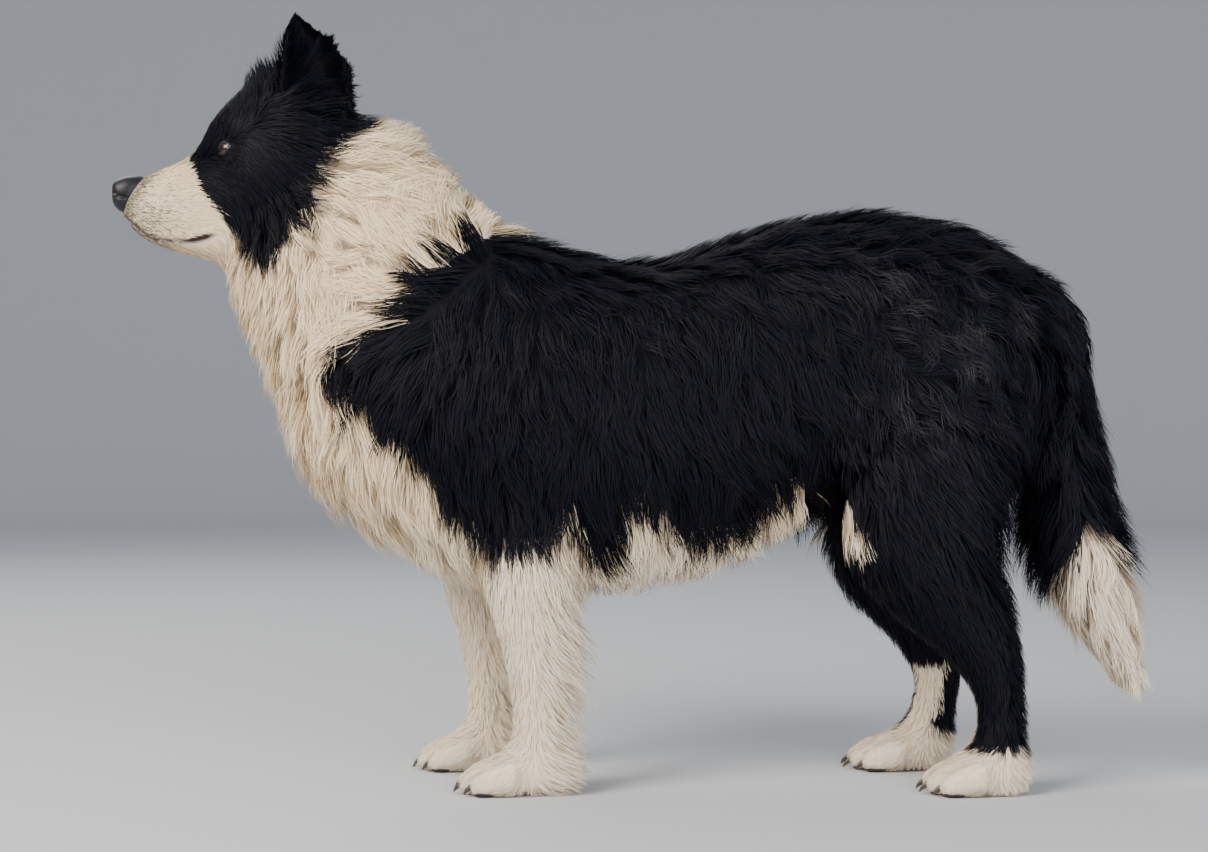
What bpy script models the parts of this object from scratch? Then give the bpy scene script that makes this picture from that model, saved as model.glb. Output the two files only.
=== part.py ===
"""Long-coated black and white collie, standing, life size, as a still model.

The dog faces -X and its left side faces -Y. The origin is on the floor, under the middle of its box.
The solids reach out to the tips of the coat. Tables are in millimetres; MM turns them into metres.
"""

import bmesh
import bpy
import numpy as np
from mathutils import Vector

MM = 0.001
GAP = 0.3 * MM  # clearance between two neighbouring solids
SEAT_GAP = 0.7  # millimetres that a loft's seat grows in the plane of its rings, which lean to its surface
END_GROWTH = 3.0  # a seat's ends lie this many gaps beyond the piece's, as its rings may slant
SIDES = 28  # points round a ring of the body
RINGS_PER_ROW = 3  # rings made from one row of a table to the next
VOXEL = 7.0 * MM  # grid that fuses the body's shapes into one surface
BLEND_STEPS = 6  # smoothing passes over the fused surface
BODY_TRIANGLES = 4400
LEG_SQUARENESS = 2.4  # a ring of squareness 2 is an ellipse, and a higher one is nearer to a box

PAW_TOP = 46.0  # height of the cut between a leg and its paw
SHARP = np.radians(50)
EYE_RADIUS = 10.5
EYE_PLACE = (-398.0, 38.0, 628.0)  # x, distance from the middle plane, z
# How far the right foot stands ahead of the left one, and by how much the top of that leg is ahead.
FORE_STRIDE = (52.0, 52.0)
HIND_STRIDE = (56.0, 0.0)
NO_STRIDE = (0.0, 0.0)
SIDES_OF_BODY = (("left", -1), ("right", 1))

# Each row is one ring: the two ends of its long axis (x, z, x, z), then half its width along Y.
TORSO = (
    (-330, 648, -395, 540, 55),
    (-285, 664, -408, 512, 72),
    (-230, 660, -408, 480, 92),
    (-184, 614, -385, 428, 108),
    (-144, 579, -358, 368, 117),
    (-100, 549, -345, 315, 126),
    (-50, 535, -290, 250, 134),
    (10, 521, -170, 190, 138),
    (70, 538, -40, 180, 135),
    (130, 559, 90, 200, 129),
    (200, 575, 185, 250, 125),
    (270, 571, 270, 275, 128),
    (330, 558, 330, 280, 122),
    (378, 534, 374, 290, 104),
    (415, 500, 406, 320, 78),
    (436, 460, 424, 370, 45),
)
HEAD = (
    (-513, 596, -511, 572, 13),
    (-504, 601, -503, 554, 21),
    (-488, 604, -487, 540, 27),
    (-465, 613, -464, 528, 31),
    (-442, 623, -440, 521, 34),
    (-429, 637, -418, 517, 38),
    (-417, 663, -395, 512, 44),
    (-390, 690, -368, 508, 56),
    (-354, 711, -336, 520, 72),
    (-318, 706, -312, 540, 75),
    (-285, 682, -290, 565, 60),
    (-268, 650, -275, 595, 32),
)
# The rows of legs and ears end with the ring's distance from the middle plane.
FORELEG = (
    (-150, 300, -34, 292, 40, 62),
    (-148, 236, -38, 236, 44, 70),
    (-143, 188, -38, 188, 42, 74),
    (-128, 140, -32, 140, 37, 74),
    (-119, 94, -36, 92, 33, 74),
    (-117, 66, -45, 64, 31, 74),
    (-122, 43, -44, 42, 34, 74),
    (-152, 28, -36, 26, 39, 75),
    (-170, 14, -36, 12, 41, 76),
    (-167, -3, -60, -3, 40, 76),
    (-150, -14, -75, -14, 30, 76),
)
HINDLEG = (
    (232, 398, 380, 404, 30, 56),
    (200, 318, 388, 336, 50, 68),
    (193, 250, 376, 262, 55, 74),
    (213, 203, 370, 210, 48, 76),
    (252, 166, 381, 168, 40, 76),
    (300, 128, 384, 136, 33, 76),
    (328, 94, 386, 96, 28, 76),
    (331, 62, 389, 62, 28, 76),
    (321, 42, 392, 40, 32, 76),
    (294, 27, 400, 24, 38, 77),
    (279, 13, 397, 10, 40, 78),
    (286, -3, 381, -3, 38, 78),
    (300, -14, 366, -14, 28, 78),
)
EAR = (
    (-345, 668, -272, 660, 30, 50),
    (-344, 693, -276, 684, 27, 55),
    (-341, 716, -281, 706, 21, 60),
    (-338, 733, -293, 726, 15, 64),
    (-334, 745, -312, 739, 9, 66),
    (-330, 754, -326, 752, 3, 67),
)
TAIL = (
    (388, 514, 430, 500, 30),
    (394, 452, 456, 457, 42),
    (390, 380, 465, 382, 50),
    (386, 310, 488, 312, 54),
    (382, 250, 500, 248, 56),
    (402, 205, 512, 202, 53),
    (434, 165, 517, 160, 44),
    (460, 128, 516, 122, 31),
    (484, 98, 514, 92, 16),
    (503, 78, 509, 76, 4),
)
NOSE = (
    (-517, 591, -517, 580, 8),
    (-514, 597, -513, 573, 15),
    (-506, 601, -505, 567, 19),
    (-496, 603, -498, 571, 17),
    (-490, 602, -494, 578, 12),
)

# Where the head, jaw and neck are divided, as side-view outlines (x, z) of convex blocks.
HEAD_BLOCK = ((-560, 790), (-262, 790), (-262, 670), (-404, 503), (-560, 468))
JAW_BLOCK = ((-560, 560), (-414, 542), (-396, 488), (-560, 458))
NECK_BLOCK = ((-430, 810), (-430, 468), (-370, 288), (-110, 568), (-110, 810))
# A left leg's block: its front and back x at the floor, at the groin and at its outer top, then those two heights.
FORELEG_BLOCK = ((-205, -8), (-160, -22), (-156, -18), 172, 246)
HINDLEG_BLOCK = ((180, 450), (180, 450), (210, 450), 265, 455)
GROIN = 2.0  # the legs' blocks start this far from the middle plane
OUTSIDE = 200.0  # and end beyond the coat
BELOW_FLOOR = -60.0
BEYOND = 600.0  # further ahead and behind than the dog reaches
# Points round a ring, and rings from one row to the next.
EAR_GRID = (12, 2)
NOSE_GRID = (12, 2)
TAIL_GRID = (18, 2)
EYE_GRID = (16, 10)


def curve_through(rows, steps):
    """Rows on a Catmull-Rom curve that passes through every given row, with steps of them per stretch."""
    given = np.asarray(rows, float)
    ends = np.vstack([2 * given[0] - given[1], given, 2 * given[-1] - given[-2]])
    made = []
    for a, b, c, d in zip(ends, ends[1:], ends[2:], ends[3:]):
        for t in np.arange(steps) / steps:
            made.append(
                0.5 * (2 * b + (c - a) * t + (2 * a - 5 * b + 4 * c - d) * t**2 + (3 * b - a - 3 * c + d) * t**3)
            )
    return np.array([*made, given[-1]])


def new_object(name, mesh):
    obj = bpy.data.objects.new(name, mesh)
    bpy.context.scene.collection.objects.link(obj)
    return obj


def mesh_from(name, bm):
    """The mesh of bm, with its faces turned outwards."""
    bmesh.ops.recalc_face_normals(bm, faces=bm.faces)
    mesh = bpy.data.meshes.new(name)
    bm.to_mesh(mesh)
    bm.free()
    return mesh


def loft(name, rows, squareness=2.2, grid=(SIDES, RINGS_PER_ROW), grow=0.0):
    """A closed skin through rings. A ring is a superellipse on its row's long axis and half width, in millimetres."""
    sides, steps = grid
    turn = np.arange(sides) * 2 * np.pi / sides
    up = np.sign(np.cos(turn)) * np.abs(np.cos(turn)) ** (2 / squareness)
    across = np.sign(np.sin(turn)) * np.abs(np.sin(turn)) ** (2 / squareness)
    bm = bmesh.new()
    rings = []
    along = curve_through(rows, steps)
    for end, inner in ((0, 1), (-1, -2)):
        outwards = along[end, :4] - along[inner, :4]
        along[end, :4] += outwards * END_GROWTH * grow / np.linalg.norm(outwards)
    for row in along:
        top = np.array([row[0], 0, row[1]])
        low = np.array([row[2], 0, row[3]])
        half = (top - low) / 2
        half *= 1 + grow / np.linalg.norm(half)
        centre = (top + low) / 2 + np.array([0, row[5] if len(row) > 5 else 0, 0])
        points = centre + up[:, None] * half + across[:, None] * np.array([0, row[4] + grow, 0])
        rings.append([bm.verts.new(p * MM) for p in points])
    for one, two in zip(rings, rings[1:]):
        for k in range(sides):
            bm.faces.new((one[k], one[k - 1], two[k - 1], two[k]))
    bm.faces.new(rings[0])
    bm.faces.new(rings[-1])
    return new_object(name, mesh_from(name, bm))


def on_side(rows, sign, stride=NO_STRIDE):
    """The rows of one side's leg or ear, moved ahead by stride[0] at the floor and by stride[1] at the top."""
    top = rows[0][1]
    moved = []
    for ax, az, bx, bz, width, middle in rows:
        ahead_a = stride[0] + (stride[1] - stride[0]) * az / top
        ahead_b = stride[0] + (stride[1] - stride[0]) * bz / top
        moved.append((ax - ahead_a, az, bx - ahead_b, bz, width, sign * middle))
    return tuple(moved)


def helper(obj):
    obj.hide_render = True
    obj.display_type = "WIRE"
    return obj


def hull(name, corners, grow=0.0):
    """The convex block on these corners, in millimetres, with every side moved out by grow."""
    bm = bmesh.new()
    for corner in corners:
        bm.verts.new(Vector(corner) * MM)
    bmesh.ops.convex_hull(bm, input=bm.verts)
    bmesh.ops.delete(bm, geom=[vert for vert in bm.verts if not vert.link_faces], context="VERTS")
    bmesh.ops.recalc_face_normals(bm, faces=bm.faces)
    moves = []
    for vert in bm.verts:
        normals = np.array([face.normal for face in vert.link_faces])
        moves.append(np.linalg.lstsq(normals, np.full(len(normals), grow * MM), rcond=None)[0])
    for vert, move in zip(bm.verts, moves):
        vert.co += Vector(move)
    return helper(new_object(name, mesh_from(name, bm)))


def slab(name, outline, grow=0.0):
    """A side-view outline (x, z) carried across the whole body."""
    return hull(name, [(x, y, z) for x, z in outline for y in (-OUTSIDE, OUTSIDE)], grow)


def box_outline(low, high):
    """A side-view outline as long as the dog, between two heights."""
    return ((-BEYOND, low), (BEYOND, low), (BEYOND, high), (-BEYOND, high))


def leg_block(name, plan, sign, stride, grow=0.0):
    """The block that takes one leg, with its paw. Its top rises outwards from the groin."""
    floor_x, groin_x, outer_x, groin_z, outer_z = plan
    corners = [(x - stride[0], y, BELOW_FLOOR) for x in floor_x for y in (GROIN, OUTSIDE)]
    corners += [(x - stride[1], GROIN, groin_z) for x in groin_x]
    corners += [(x - stride[1], OUTSIDE, outer_z) for x in outer_x]
    return hull(name, [(x, sign * y, z) for x, y, z in corners], grow)


def boolean(obj, operation, other):
    modifier = obj.modifiers.new(operation.lower(), "BOOLEAN")
    modifier.operation = operation
    modifier.object = other
    modifier.solver = "EXACT"
    return modifier


def settled(obj, name):
    """A new mesh that holds obj as its modifiers leave it."""
    bpy.context.view_layer.update()
    graph = bpy.context.evaluated_depsgraph_get()
    mesh = bpy.data.meshes.new_from_object(obj.evaluated_get(graph))
    mesh.name = name
    return mesh


def fused(name, pieces):
    """One smooth closed surface round all the pieces, with about BODY_TRIANGLES triangles."""
    bm = bmesh.new()
    for piece in pieces:
        bm.from_mesh(piece.data)
        bpy.data.objects.remove(piece)
    whole = new_object(name, mesh_from(name, bm))
    remesh = whole.modifiers.new("fuse", "REMESH")
    remesh.mode = "VOXEL"
    remesh.voxel_size = VOXEL
    smooth = whole.modifiers.new("blend", "SMOOTH")
    smooth.factor = 0.5
    smooth.iterations = BLEND_STEPS
    dense = settled(whole, name)
    dense.calc_loop_triangles()
    fewer = whole.modifiers.new("fewer", "DECIMATE")
    fewer.ratio = BODY_TRIANGLES / len(dense.loop_triangles)
    mesh = settled(whole, name)
    bpy.data.objects.remove(whole)
    return mesh


def material(name, colour, roughness):
    made = bpy.data.materials.new(name)
    made.use_nodes = True
    shader = made.node_tree.nodes["Principled BSDF"]
    shader.inputs["Base Color"].default_value = (*colour, 1)
    shader.inputs["Roughness"].default_value = roughness
    shader.inputs["Metallic"].default_value = 0
    made.diffuse_color = (*colour, 1)
    return made


def finish(obj, look):
    """The object with its material on, shaded smooth but for edges sharper than SHARP."""
    obj.data.materials.clear()
    obj.data.materials.append(look)
    obj.data.shade_smooth()
    obj.data.set_sharp_from_angle(angle=SHARP)
    return obj


def eyeball(name, side, grow=0.0):
    bm = bmesh.new()
    bmesh.ops.create_uvsphere(bm, u_segments=EYE_GRID[0], v_segments=EYE_GRID[1], radius=(EYE_RADIUS + grow) * MM)
    x, y, z = EYE_PLACE
    bmesh.ops.translate(bm, verts=bm.verts, vec=Vector((x, side * y, z)) * MM)
    return new_object(name, mesh_from(name, bm))


for old in list(bpy.data.objects):
    bpy.data.objects.remove(old)

black_coat = material("black_coat", (0.012, 0.012, 0.014), 0.55)
white_coat = material("white_coat", (0.80, 0.74, 0.66), 0.7)
nose_leather = material("nose_leather", (0.02, 0.018, 0.02), 0.35)
eye_brown = material("eye_brown", (0.06, 0.03, 0.015), 0.08)

# The body is shaped whole, then divided by blocks that are one clearance larger than the piece they take.
shapes = [loft("torso", TORSO), loft("skull", HEAD)]
shapes.append(loft("foreleg_l", on_side(FORELEG, -1), LEG_SQUARENESS))
shapes.append(loft("foreleg_r", on_side(FORELEG, 1, FORE_STRIDE), LEG_SQUARENESS))
shapes.append(loft("hindleg_l", on_side(HINDLEG, -1), LEG_SQUARENESS))
shapes.append(loft("hindleg_r", on_side(HINDLEG, 1, HIND_STRIDE), LEG_SQUARENESS))
body = fused("body", shapes)


def take(name, look, inside, cut_away):
    """A node: the part of the body inside every block of inside, less the solids in cut_away."""
    obj = finish(new_object(name, body.copy()), look)
    for block in inside:
        boolean(obj, "INTERSECT", block)
    for cutter in cut_away:
        boolean(obj, "DIFFERENCE", cutter)
    return obj


# Every seat is its piece's shape with the clearance added, and is cut out of the neighbours.
gap = GAP / MM
ear_seats = []
eye_seats = []
for side, sign in SIDES_OF_BODY:
    ear_rows = on_side(EAR, sign)
    finish(loft(f"ear_{side}", ear_rows, grid=EAR_GRID), black_coat)
    ear_seats.append(helper(loft(f"ear_{side}_seat", ear_rows, grid=EAR_GRID, grow=SEAT_GAP)))
    finish(eyeball(f"eye_{side}", sign), eye_brown)
    eye_seats.append(helper(eyeball(f"eye_{side}_seat", sign, gap)))
finish(loft("nose", NOSE, grid=NOSE_GRID), nose_leather)
nose_seat = helper(loft("nose_seat", NOSE, grid=NOSE_GRID, grow=SEAT_GAP))
finish(loft("tail", TAIL, grid=TAIL_GRID), black_coat)
tail_seat = helper(loft("tail_seat", TAIL, grid=TAIL_GRID, grow=SEAT_GAP))

head_block = slab("head_block", HEAD_BLOCK)
head_seat = slab("head_seat", HEAD_BLOCK, gap)
jaw_block = slab("jaw_block", JAW_BLOCK)
jaw_seat = slab("jaw_seat", JAW_BLOCK, gap)
neck_block = slab("neck_block", NECK_BLOCK)
neck_seat = slab("neck_seat", NECK_BLOCK, gap)
take("head", black_coat, [head_block], [jaw_seat, nose_seat, *ear_seats, *eye_seats])
take("jaw", white_coat, [jaw_block, head_block], [nose_seat])
take("neck", white_coat, [neck_block], [head_seat, *ear_seats])

paws_block = slab("paws_block", box_outline(0, PAW_TOP))
below_legs = slab("below_legs", box_outline(BELOW_FLOOR, PAW_TOP), gap)
leg_seats = []
for side, sign in SIDES_OF_BODY:
    for leg, plan, step, coat in (
        ("fore", FORELEG_BLOCK, FORE_STRIDE, white_coat),
        ("hind", HINDLEG_BLOCK, HIND_STRIDE, black_coat),
    ):
        stride = step if side == "right" else NO_STRIDE
        taken = leg_block(f"{leg}leg_{side}_block", plan, sign, stride)
        take(f"{leg}paw_{side}", white_coat, [taken, paws_block], [])
        take(f"{leg}leg_{side}", coat, [taken], [below_legs, tail_seat])
        leg_seats.append(leg_block(f"{leg}leg_{side}_seat", plan, sign, stride, gap))
take("trunk", black_coat, [], [head_seat, neck_seat, tail_seat, *leg_seats])
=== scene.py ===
# %% [markdown]
# # A long-coated collie, standing still
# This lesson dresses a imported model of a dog, which gives its true outline out to the tips of the coat. The dog
# faces -X and its left side faces -Y, and one unit is a metre. It makes the bare skin first, grows the coat from it
# until it fills the outline, and then adds the eyes, the nose, the claws and the whiskers.

import bmesh
import bpy
import numpy as np
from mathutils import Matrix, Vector, kdtree
from mathutils.bvhtree import BVHTree


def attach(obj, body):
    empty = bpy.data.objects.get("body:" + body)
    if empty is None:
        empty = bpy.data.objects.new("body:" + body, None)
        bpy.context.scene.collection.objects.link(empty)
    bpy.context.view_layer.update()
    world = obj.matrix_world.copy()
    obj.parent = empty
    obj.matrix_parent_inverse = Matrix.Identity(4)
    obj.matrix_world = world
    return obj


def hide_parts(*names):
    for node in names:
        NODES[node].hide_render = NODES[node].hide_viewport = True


MM = 0.001
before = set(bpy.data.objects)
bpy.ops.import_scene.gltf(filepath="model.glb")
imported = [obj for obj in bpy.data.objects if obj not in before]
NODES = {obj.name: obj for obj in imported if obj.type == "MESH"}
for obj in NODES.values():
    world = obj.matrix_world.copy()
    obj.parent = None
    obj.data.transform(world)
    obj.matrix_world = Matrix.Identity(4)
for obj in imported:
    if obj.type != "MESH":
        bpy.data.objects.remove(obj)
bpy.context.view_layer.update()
rng = np.random.default_rng(11)

# %% [markdown]
# ## The camera
# A dog's likeness is mostly its side view, and a long lens keeps its proportions true. It could be an orthographic
# camera, but then the far legs would hide behind the near ones. So it is a level camera about two metres away, as
# high as the dog's elbow.


# %% Camera
def placed(name, data):
    """A new object in the scene."""
    obj = bpy.data.objects.new(name, data)
    bpy.context.scene.collection.objects.link(obj)
    return obj


CAMERA_PLACE = (-0.026, -2.2, 0.3535)
SENSOR_WIDTH = 36.0
LENS_LENGTH, VIEW_WIDTH = 2200, 1208  # how long the lens is for this width of the view, in one unit
camera = placed("camera", bpy.data.cameras.new("camera"))
camera.location = CAMERA_PLACE
camera.rotation_euler = (np.pi / 2, 0, 0)
camera.data.sensor_width = SENSOR_WIDTH
camera.data.lens = SENSOR_WIDTH * LENS_LENGTH / VIEW_WIDTH
bpy.context.scene.camera = camera

# %% [markdown]
# ## Meshes from arrays
# Every new piece is a grid of points worked out in one go, so a few small functions do all the mesh making: one takes
# points and faces, one closes a tube of rings, and one stacks several such pairs. Python loops over points would be
# slow and hard to read.


# %% Mesh helpers
def new_piece(name, points, faces):
    """A smooth mesh object from an array of points and a list of faces."""
    mesh = bpy.data.meshes.new(name)
    mesh.from_pydata(np.asarray(points, float).tolist(), [], [tuple(face) for face in faces])
    mesh.update()
    mesh.shade_smooth()
    return placed(name, mesh)


def rows_of(mesh, key):
    """One vector for each point of a mesh, as rows: "co" for its place, "normal" for its outward direction."""
    flat = np.empty(len(mesh.vertices) * 3)
    mesh.vertices.foreach_get(key, flat)
    return flat.reshape(-1, 3)


def add_numbers(mesh, name, values):
    """Keep one number for each point of a mesh."""
    mesh.attributes.new(name, "FLOAT", "POINT").data.foreach_set("value", np.asarray(values, np.float32))


def stacked(parts):
    """Several pairs of points and faces as one pair."""
    points, faces, start = [], [], 0
    for part_points, part_faces in parts:
        points.append(part_points.reshape(-1, 3))
        faces += [[index + start for index in face] for face in part_faces]
        start += len(points[-1])
    return np.vstack(points), faces


def tube_faces(rings, sides, closed_ends=True):
    """The faces of a tube whose points run ring after ring, with a flat face on each end."""
    ring, side = np.meshgrid(np.arange(rings - 1), np.arange(sides), indexing="ij")
    after = (side + 1) % sides
    quads = np.stack(
        [ring * sides + side, ring * sides + after, (ring + 1) * sides + after, (ring + 1) * sides + side], -1
    )
    faces = quads.reshape(-1, 4).tolist()
    if closed_ends:
        faces.append(list(range(sides))[::-1])
        faces.append(list(range((rings - 1) * sides, rings * sides)))
    return faces


def curve_through(rows, steps):
    """Rows on a Catmull-Rom curve that passes through each given row, with steps of them per stretch."""
    given = np.asarray(rows, float)
    ends = np.vstack([2 * given[0] - given[1], given, 2 * given[-1] - given[-2]])
    t = (np.arange(steps) / steps)[None, :, None]
    a, b, c, d = (ends[k : k + len(given) - 1, None] for k in range(4))
    curve = 0.5 * (2 * b + (c - a) * t + (2 * a - 5 * b + 4 * c - d) * t**2 + (3 * b - a - 3 * c + d) * t**3)
    return np.vstack([curve.reshape(-1, given.shape[1]), given[-1]])


def ring_loft(rows, sides=40, steps=5, squareness=2.2):
    """Points of a body part: a row (x, z, x, z, half width, middle y) is a ring, the superellipse on the long axis
    between its two ends and its half width; the rings follow a smooth curve through the rows."""
    rows = curve_through([row if len(row) > 5 else (*row, 0) for row in rows], steps)
    turn = np.arange(sides) * 2 * np.pi / sides
    up = np.sign(np.cos(turn)) * np.abs(np.cos(turn)) ** (2 / squareness)
    across = np.sign(np.sin(turn)) * np.abs(np.sin(turn)) ** (2 / squareness)
    top = np.stack([rows[:, 0], rows[:, 5], rows[:, 1]], 1)
    low = np.stack([rows[:, 2], rows[:, 5], rows[:, 3]], 1)
    points = ((top + low) / 2)[:, None] + up[None, :, None] * ((top - low) / 2)[:, None]
    points[..., 1] += across[None, :] * rows[:, 4, None]
    return points * MM


# %% [markdown]
# ## The bare skin
# A museum model is built on the dog's body as it is under its fur: deep chest, tucked waist, thin shins. Each part
# is a chain of rings, like the frames of a boat. A row of the tables gives the two ends of a ring's long axis as
# seen from the side, then half its width, in millimetres, and for a leg its distance from the middle plane.

# %% Tables of the body
TORSO = (
    (-336, 638, -388, 552, 41),
    (-300, 645, -394, 529, 48),
    (-251, 639, -387, 501, 62),
    (-207, 592, -360, 451, 76),
    (-163, 561, -332, 393, 88),
    (-113, 537, -318, 341, 100),
    (-59, 524, -264, 281, 110),
    (4, 510, -154, 220, 115),
    (66, 525, -29, 214, 113),
    (128, 544, 94, 240, 107),
    (199, 559, 187, 292, 103),
    (270, 555, 270, 305, 106),
    (330, 542, 330, 305, 100),
    (376, 516, 374, 312, 84),
    (408, 482, 400, 338, 58),
    (420, 450, 410, 385, 28),
)
SKULL = (
    (-510, 594, -508, 572, 10),
    (-502, 598, -501, 557, 16),
    (-487, 601, -486, 541.5, 23.5),
    (-465, 610, -464, 532, 28.5),
    (-441, 620, -440, 525, 31),
    (-428, 634, -418, 522, 35),
    (-415, 659, -396, 518, 40.5),
    (-388, 684, -369, 518, 51),
    (-352, 702, -338, 532, 62),
    (-318, 694, -314, 552, 62),
    (-288, 668, -291, 578, 46),
    (-276, 645, -280, 602, 22),
)
FORELEG = (
    (-140, 300, -52, 292, 34, 60),
    (-140, 236, -58, 236, 36, 66),
    (-135, 188, -64, 188, 31, 71),
    (-122, 140, -68, 140, 26, 73),
    (-113, 94, -68, 92, 23, 73),
    (-111, 66, -70, 64, 22, 74),
    (-115, 43, -68, 42, 26, 74),
    (-140, 29, -60, 27, 32, 75),
    (-150, 15, -60, 12, 33, 76),
    (-142, 4, -70, 4, 28, 76),
)
HINDLEG = (
    (240, 398, 368, 404, 26, 54),
    (212, 318, 370, 336, 42, 64),
    (208, 252, 354, 262, 44, 69),
    (226, 206, 350, 212, 38, 73),
    (262, 168, 366, 170, 30, 74),
    (308, 130, 374, 136, 24, 75),
    (333, 95, 376, 97, 20, 76),
    (336, 62, 377, 62, 20, 76),
    (328, 42, 378, 40, 25, 76),
    (304, 29, 382, 26, 31, 77),
    (298, 14, 378, 11, 33, 78),
    (306, 4, 368, 4, 28, 78),
)
TAIL = (
    (390, 504, 428, 490, 24),
    (402, 452, 446, 456, 28),
    (406, 381, 450, 382, 32),
    (408, 311, 464, 312, 34),
    (412, 250, 470, 248, 34),
    (432, 206, 484, 202, 30),
    (452, 168, 494, 160, 24),
    (472, 130, 500, 122, 16),
    (486, 108, 502, 102, 9),
)
# How far ahead of the left feet the right ones stand at the floor, and the height at which that has faded out.
FORE_STRIDE = (52.0, np.inf)
HIND_STRIDE = (56.0, 260.0)
NO_STRIDE = (0.0, np.inf)
# Each paw's four toes: how far back from the foremost one, and how far out from the leg's middle.
TOES = ((11, -29), (0, -11), (0, 11), (11, 29))
# Rings of a toe from its tip back: an arched bar, rounded at its front.
TOE = ((0, 11, 0, 5, 3), (3, 17, 3, 3, 9), (12, 24, 12, 2, 12.5), (24, 30, 24, 2, 13), (44, 34, 44, 5, 12))
FORE_TOE_TIP = (-165, 76)  # x and distance from the middle plane of a left paw's foremost toes
HIND_TOE_TIP = (282, 78)


def moved_ahead(stride, height):
    """How far a leg stands ahead at a height: stride * max(0, 1 - height / height where it has faded out)."""
    return stride[0] * np.clip(1 - height / stride[1], 0, 1)


def on_side(rows, sign, stride=NO_STRIDE):
    """The rows of one side's leg."""
    rows = np.array(rows, float)
    rows[:, 0] -= moved_ahead(stride, rows[:, 1])
    rows[:, 2] -= moved_ahead(stride, rows[:, 3])
    rows[:, 5] *= sign
    return rows


def toe_tips(tip, sign, stride):
    """Where the four toes of one paw end: x, and y of their middle."""
    return [(tip[0] + back - stride[0], sign * (tip[1] + out)) for back, out in TOES]


def rings_at(rings, x, y):
    """Rings that are told from x = 0, moved to a place."""
    return [(x + front, high, x + rear, low, width, y) for front, high, rear, low, width in rings]


# %% Fuse the parts into one skin
SKIN_VOXEL = 5.0 * MM
SKIN_SMOOTHING = 5


def fused(name, shells, voxel, smoothing):
    """One closed surface round all the shells, each a pair of points and faces, on a grid of small cubes."""
    whole = new_piece(name, *stacked(shells))
    remesh = whole.modifiers.new("fuse", "REMESH")
    remesh.mode = "VOXEL"
    remesh.voxel_size = voxel
    smooth = whole.modifiers.new("blend", "SMOOTH")
    smooth.factor = 0.5
    smooth.iterations = smoothing
    bpy.context.view_layer.update()
    mesh = bpy.data.meshes.new_from_object(whole.evaluated_get(bpy.context.evaluated_depsgraph_get()))
    old = whole.data
    whole.modifiers.clear()
    whole.data = mesh
    bpy.data.meshes.remove(old)
    mesh.name = name
    mesh.shade_smooth()
    return whole


def shell(rows, **shape):
    """A closed part of the body as points and faces."""
    points = ring_loft(rows, **shape)
    return points, tube_faces(*points.shape[:2])


shells = [shell(TORSO, sides=64), shell(SKULL, sides=64), shell(TAIL, sides=24)]
for sign, fore, hind in ((-1, NO_STRIDE, NO_STRIDE), (1, FORE_STRIDE, HIND_STRIDE)):
    shells.append(shell(on_side(FORELEG, sign, fore)))
    shells.append(shell(on_side(HINDLEG, sign, hind)))
    for tip, stride in ((FORE_TOE_TIP, fore), (HIND_TOE_TIP, hind)):
        shells += [shell(rings_at(TOE, x, y), sides=20) for x, y in toe_tips(tip, sign, stride)]
skin = fused("skin", shells, SKIN_VOXEL, SKIN_SMOOTHING)
print("skin:", len(skin.data.vertices), "points")

# %% [markdown]
# ## Ears
# A pricked ear is a leaf of skin curled into a cup, so it is made as one surface that runs from its front edge to
# its rear edge and from the skull to the tip, then doubled to give it a thickness. A flat cone would have neither
# an inside nor a thin edge.

# %% Ears
# From the skull up to the tip: front edge (x, z), rear edge (x, z), distance from the middle plane, depth of the cup.
EAR = (
    (-341, 672, -281, 664, 45, 15),
    (-341, 693, -283, 684, 49, 15),
    (-338, 713, -284, 706, 54, 13),
    (-335, 730, -291, 726, 59, 9),
    (-331, 743, -308, 739, 62, 5),
    (-327, 751, -322, 750, 64, 1),
)
EAR_THICKNESS = 2.6
EAR_TURN = 0.35  # the rear edge stands this much nearer the middle plane, for each unit of the ear's width


def ear_wall(sign, columns=22, steps=6):
    """A closed ear: wall(u, v) = front(v) * (1 - u) + rear(v) * u + cup(v) * 4u(1 - u) inwards, and the same wall
    again, moved by the thickness towards the middle plane and tapered to nothing at its edges."""
    rows = curve_through(EAR, steps)
    u = np.linspace(0, 1, columns)[None, :]
    curl = 4 * u * (1 - u)
    x = rows[:, 0, None] * (1 - u) + rows[:, 2, None] * u + 0.25 * rows[:, 5, None] * curl
    z = rows[:, 1, None] * (1 - u) + rows[:, 3, None] * u
    width = rows[:, 2, None] - rows[:, 0, None]
    y = rows[:, 4, None] - rows[:, 5, None] * curl - EAR_TURN * width * (u - 0.3)
    taper = (0.25 + 0.75 * curl**0.5) * EAR_THICKNESS
    outer = np.stack([x, y, z], -1)
    inner = np.stack([x + 0.3 * taper, y - taper, z], -1)
    ring = np.concatenate([outer, inner[:, ::-1]], 1) * (1, sign, 1) * MM
    faces = tube_faces(*ring.shape[:2])
    return ring, faces if sign < 0 else [face[::-1] for face in faces]


# %% [markdown]
# ## The face
# The head's skin is divided finely and then modelled like clay: each feature is a soft push along the skin's
# outward direction that fades with distance. Sculpting by hand can't be written down, and a finer grid for the
# whole dog would cost a million faces. The eyelids are different. They are the skin laid over the eyeball, with an
# almond-shaped part of it pushed inside the ball.

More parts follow.
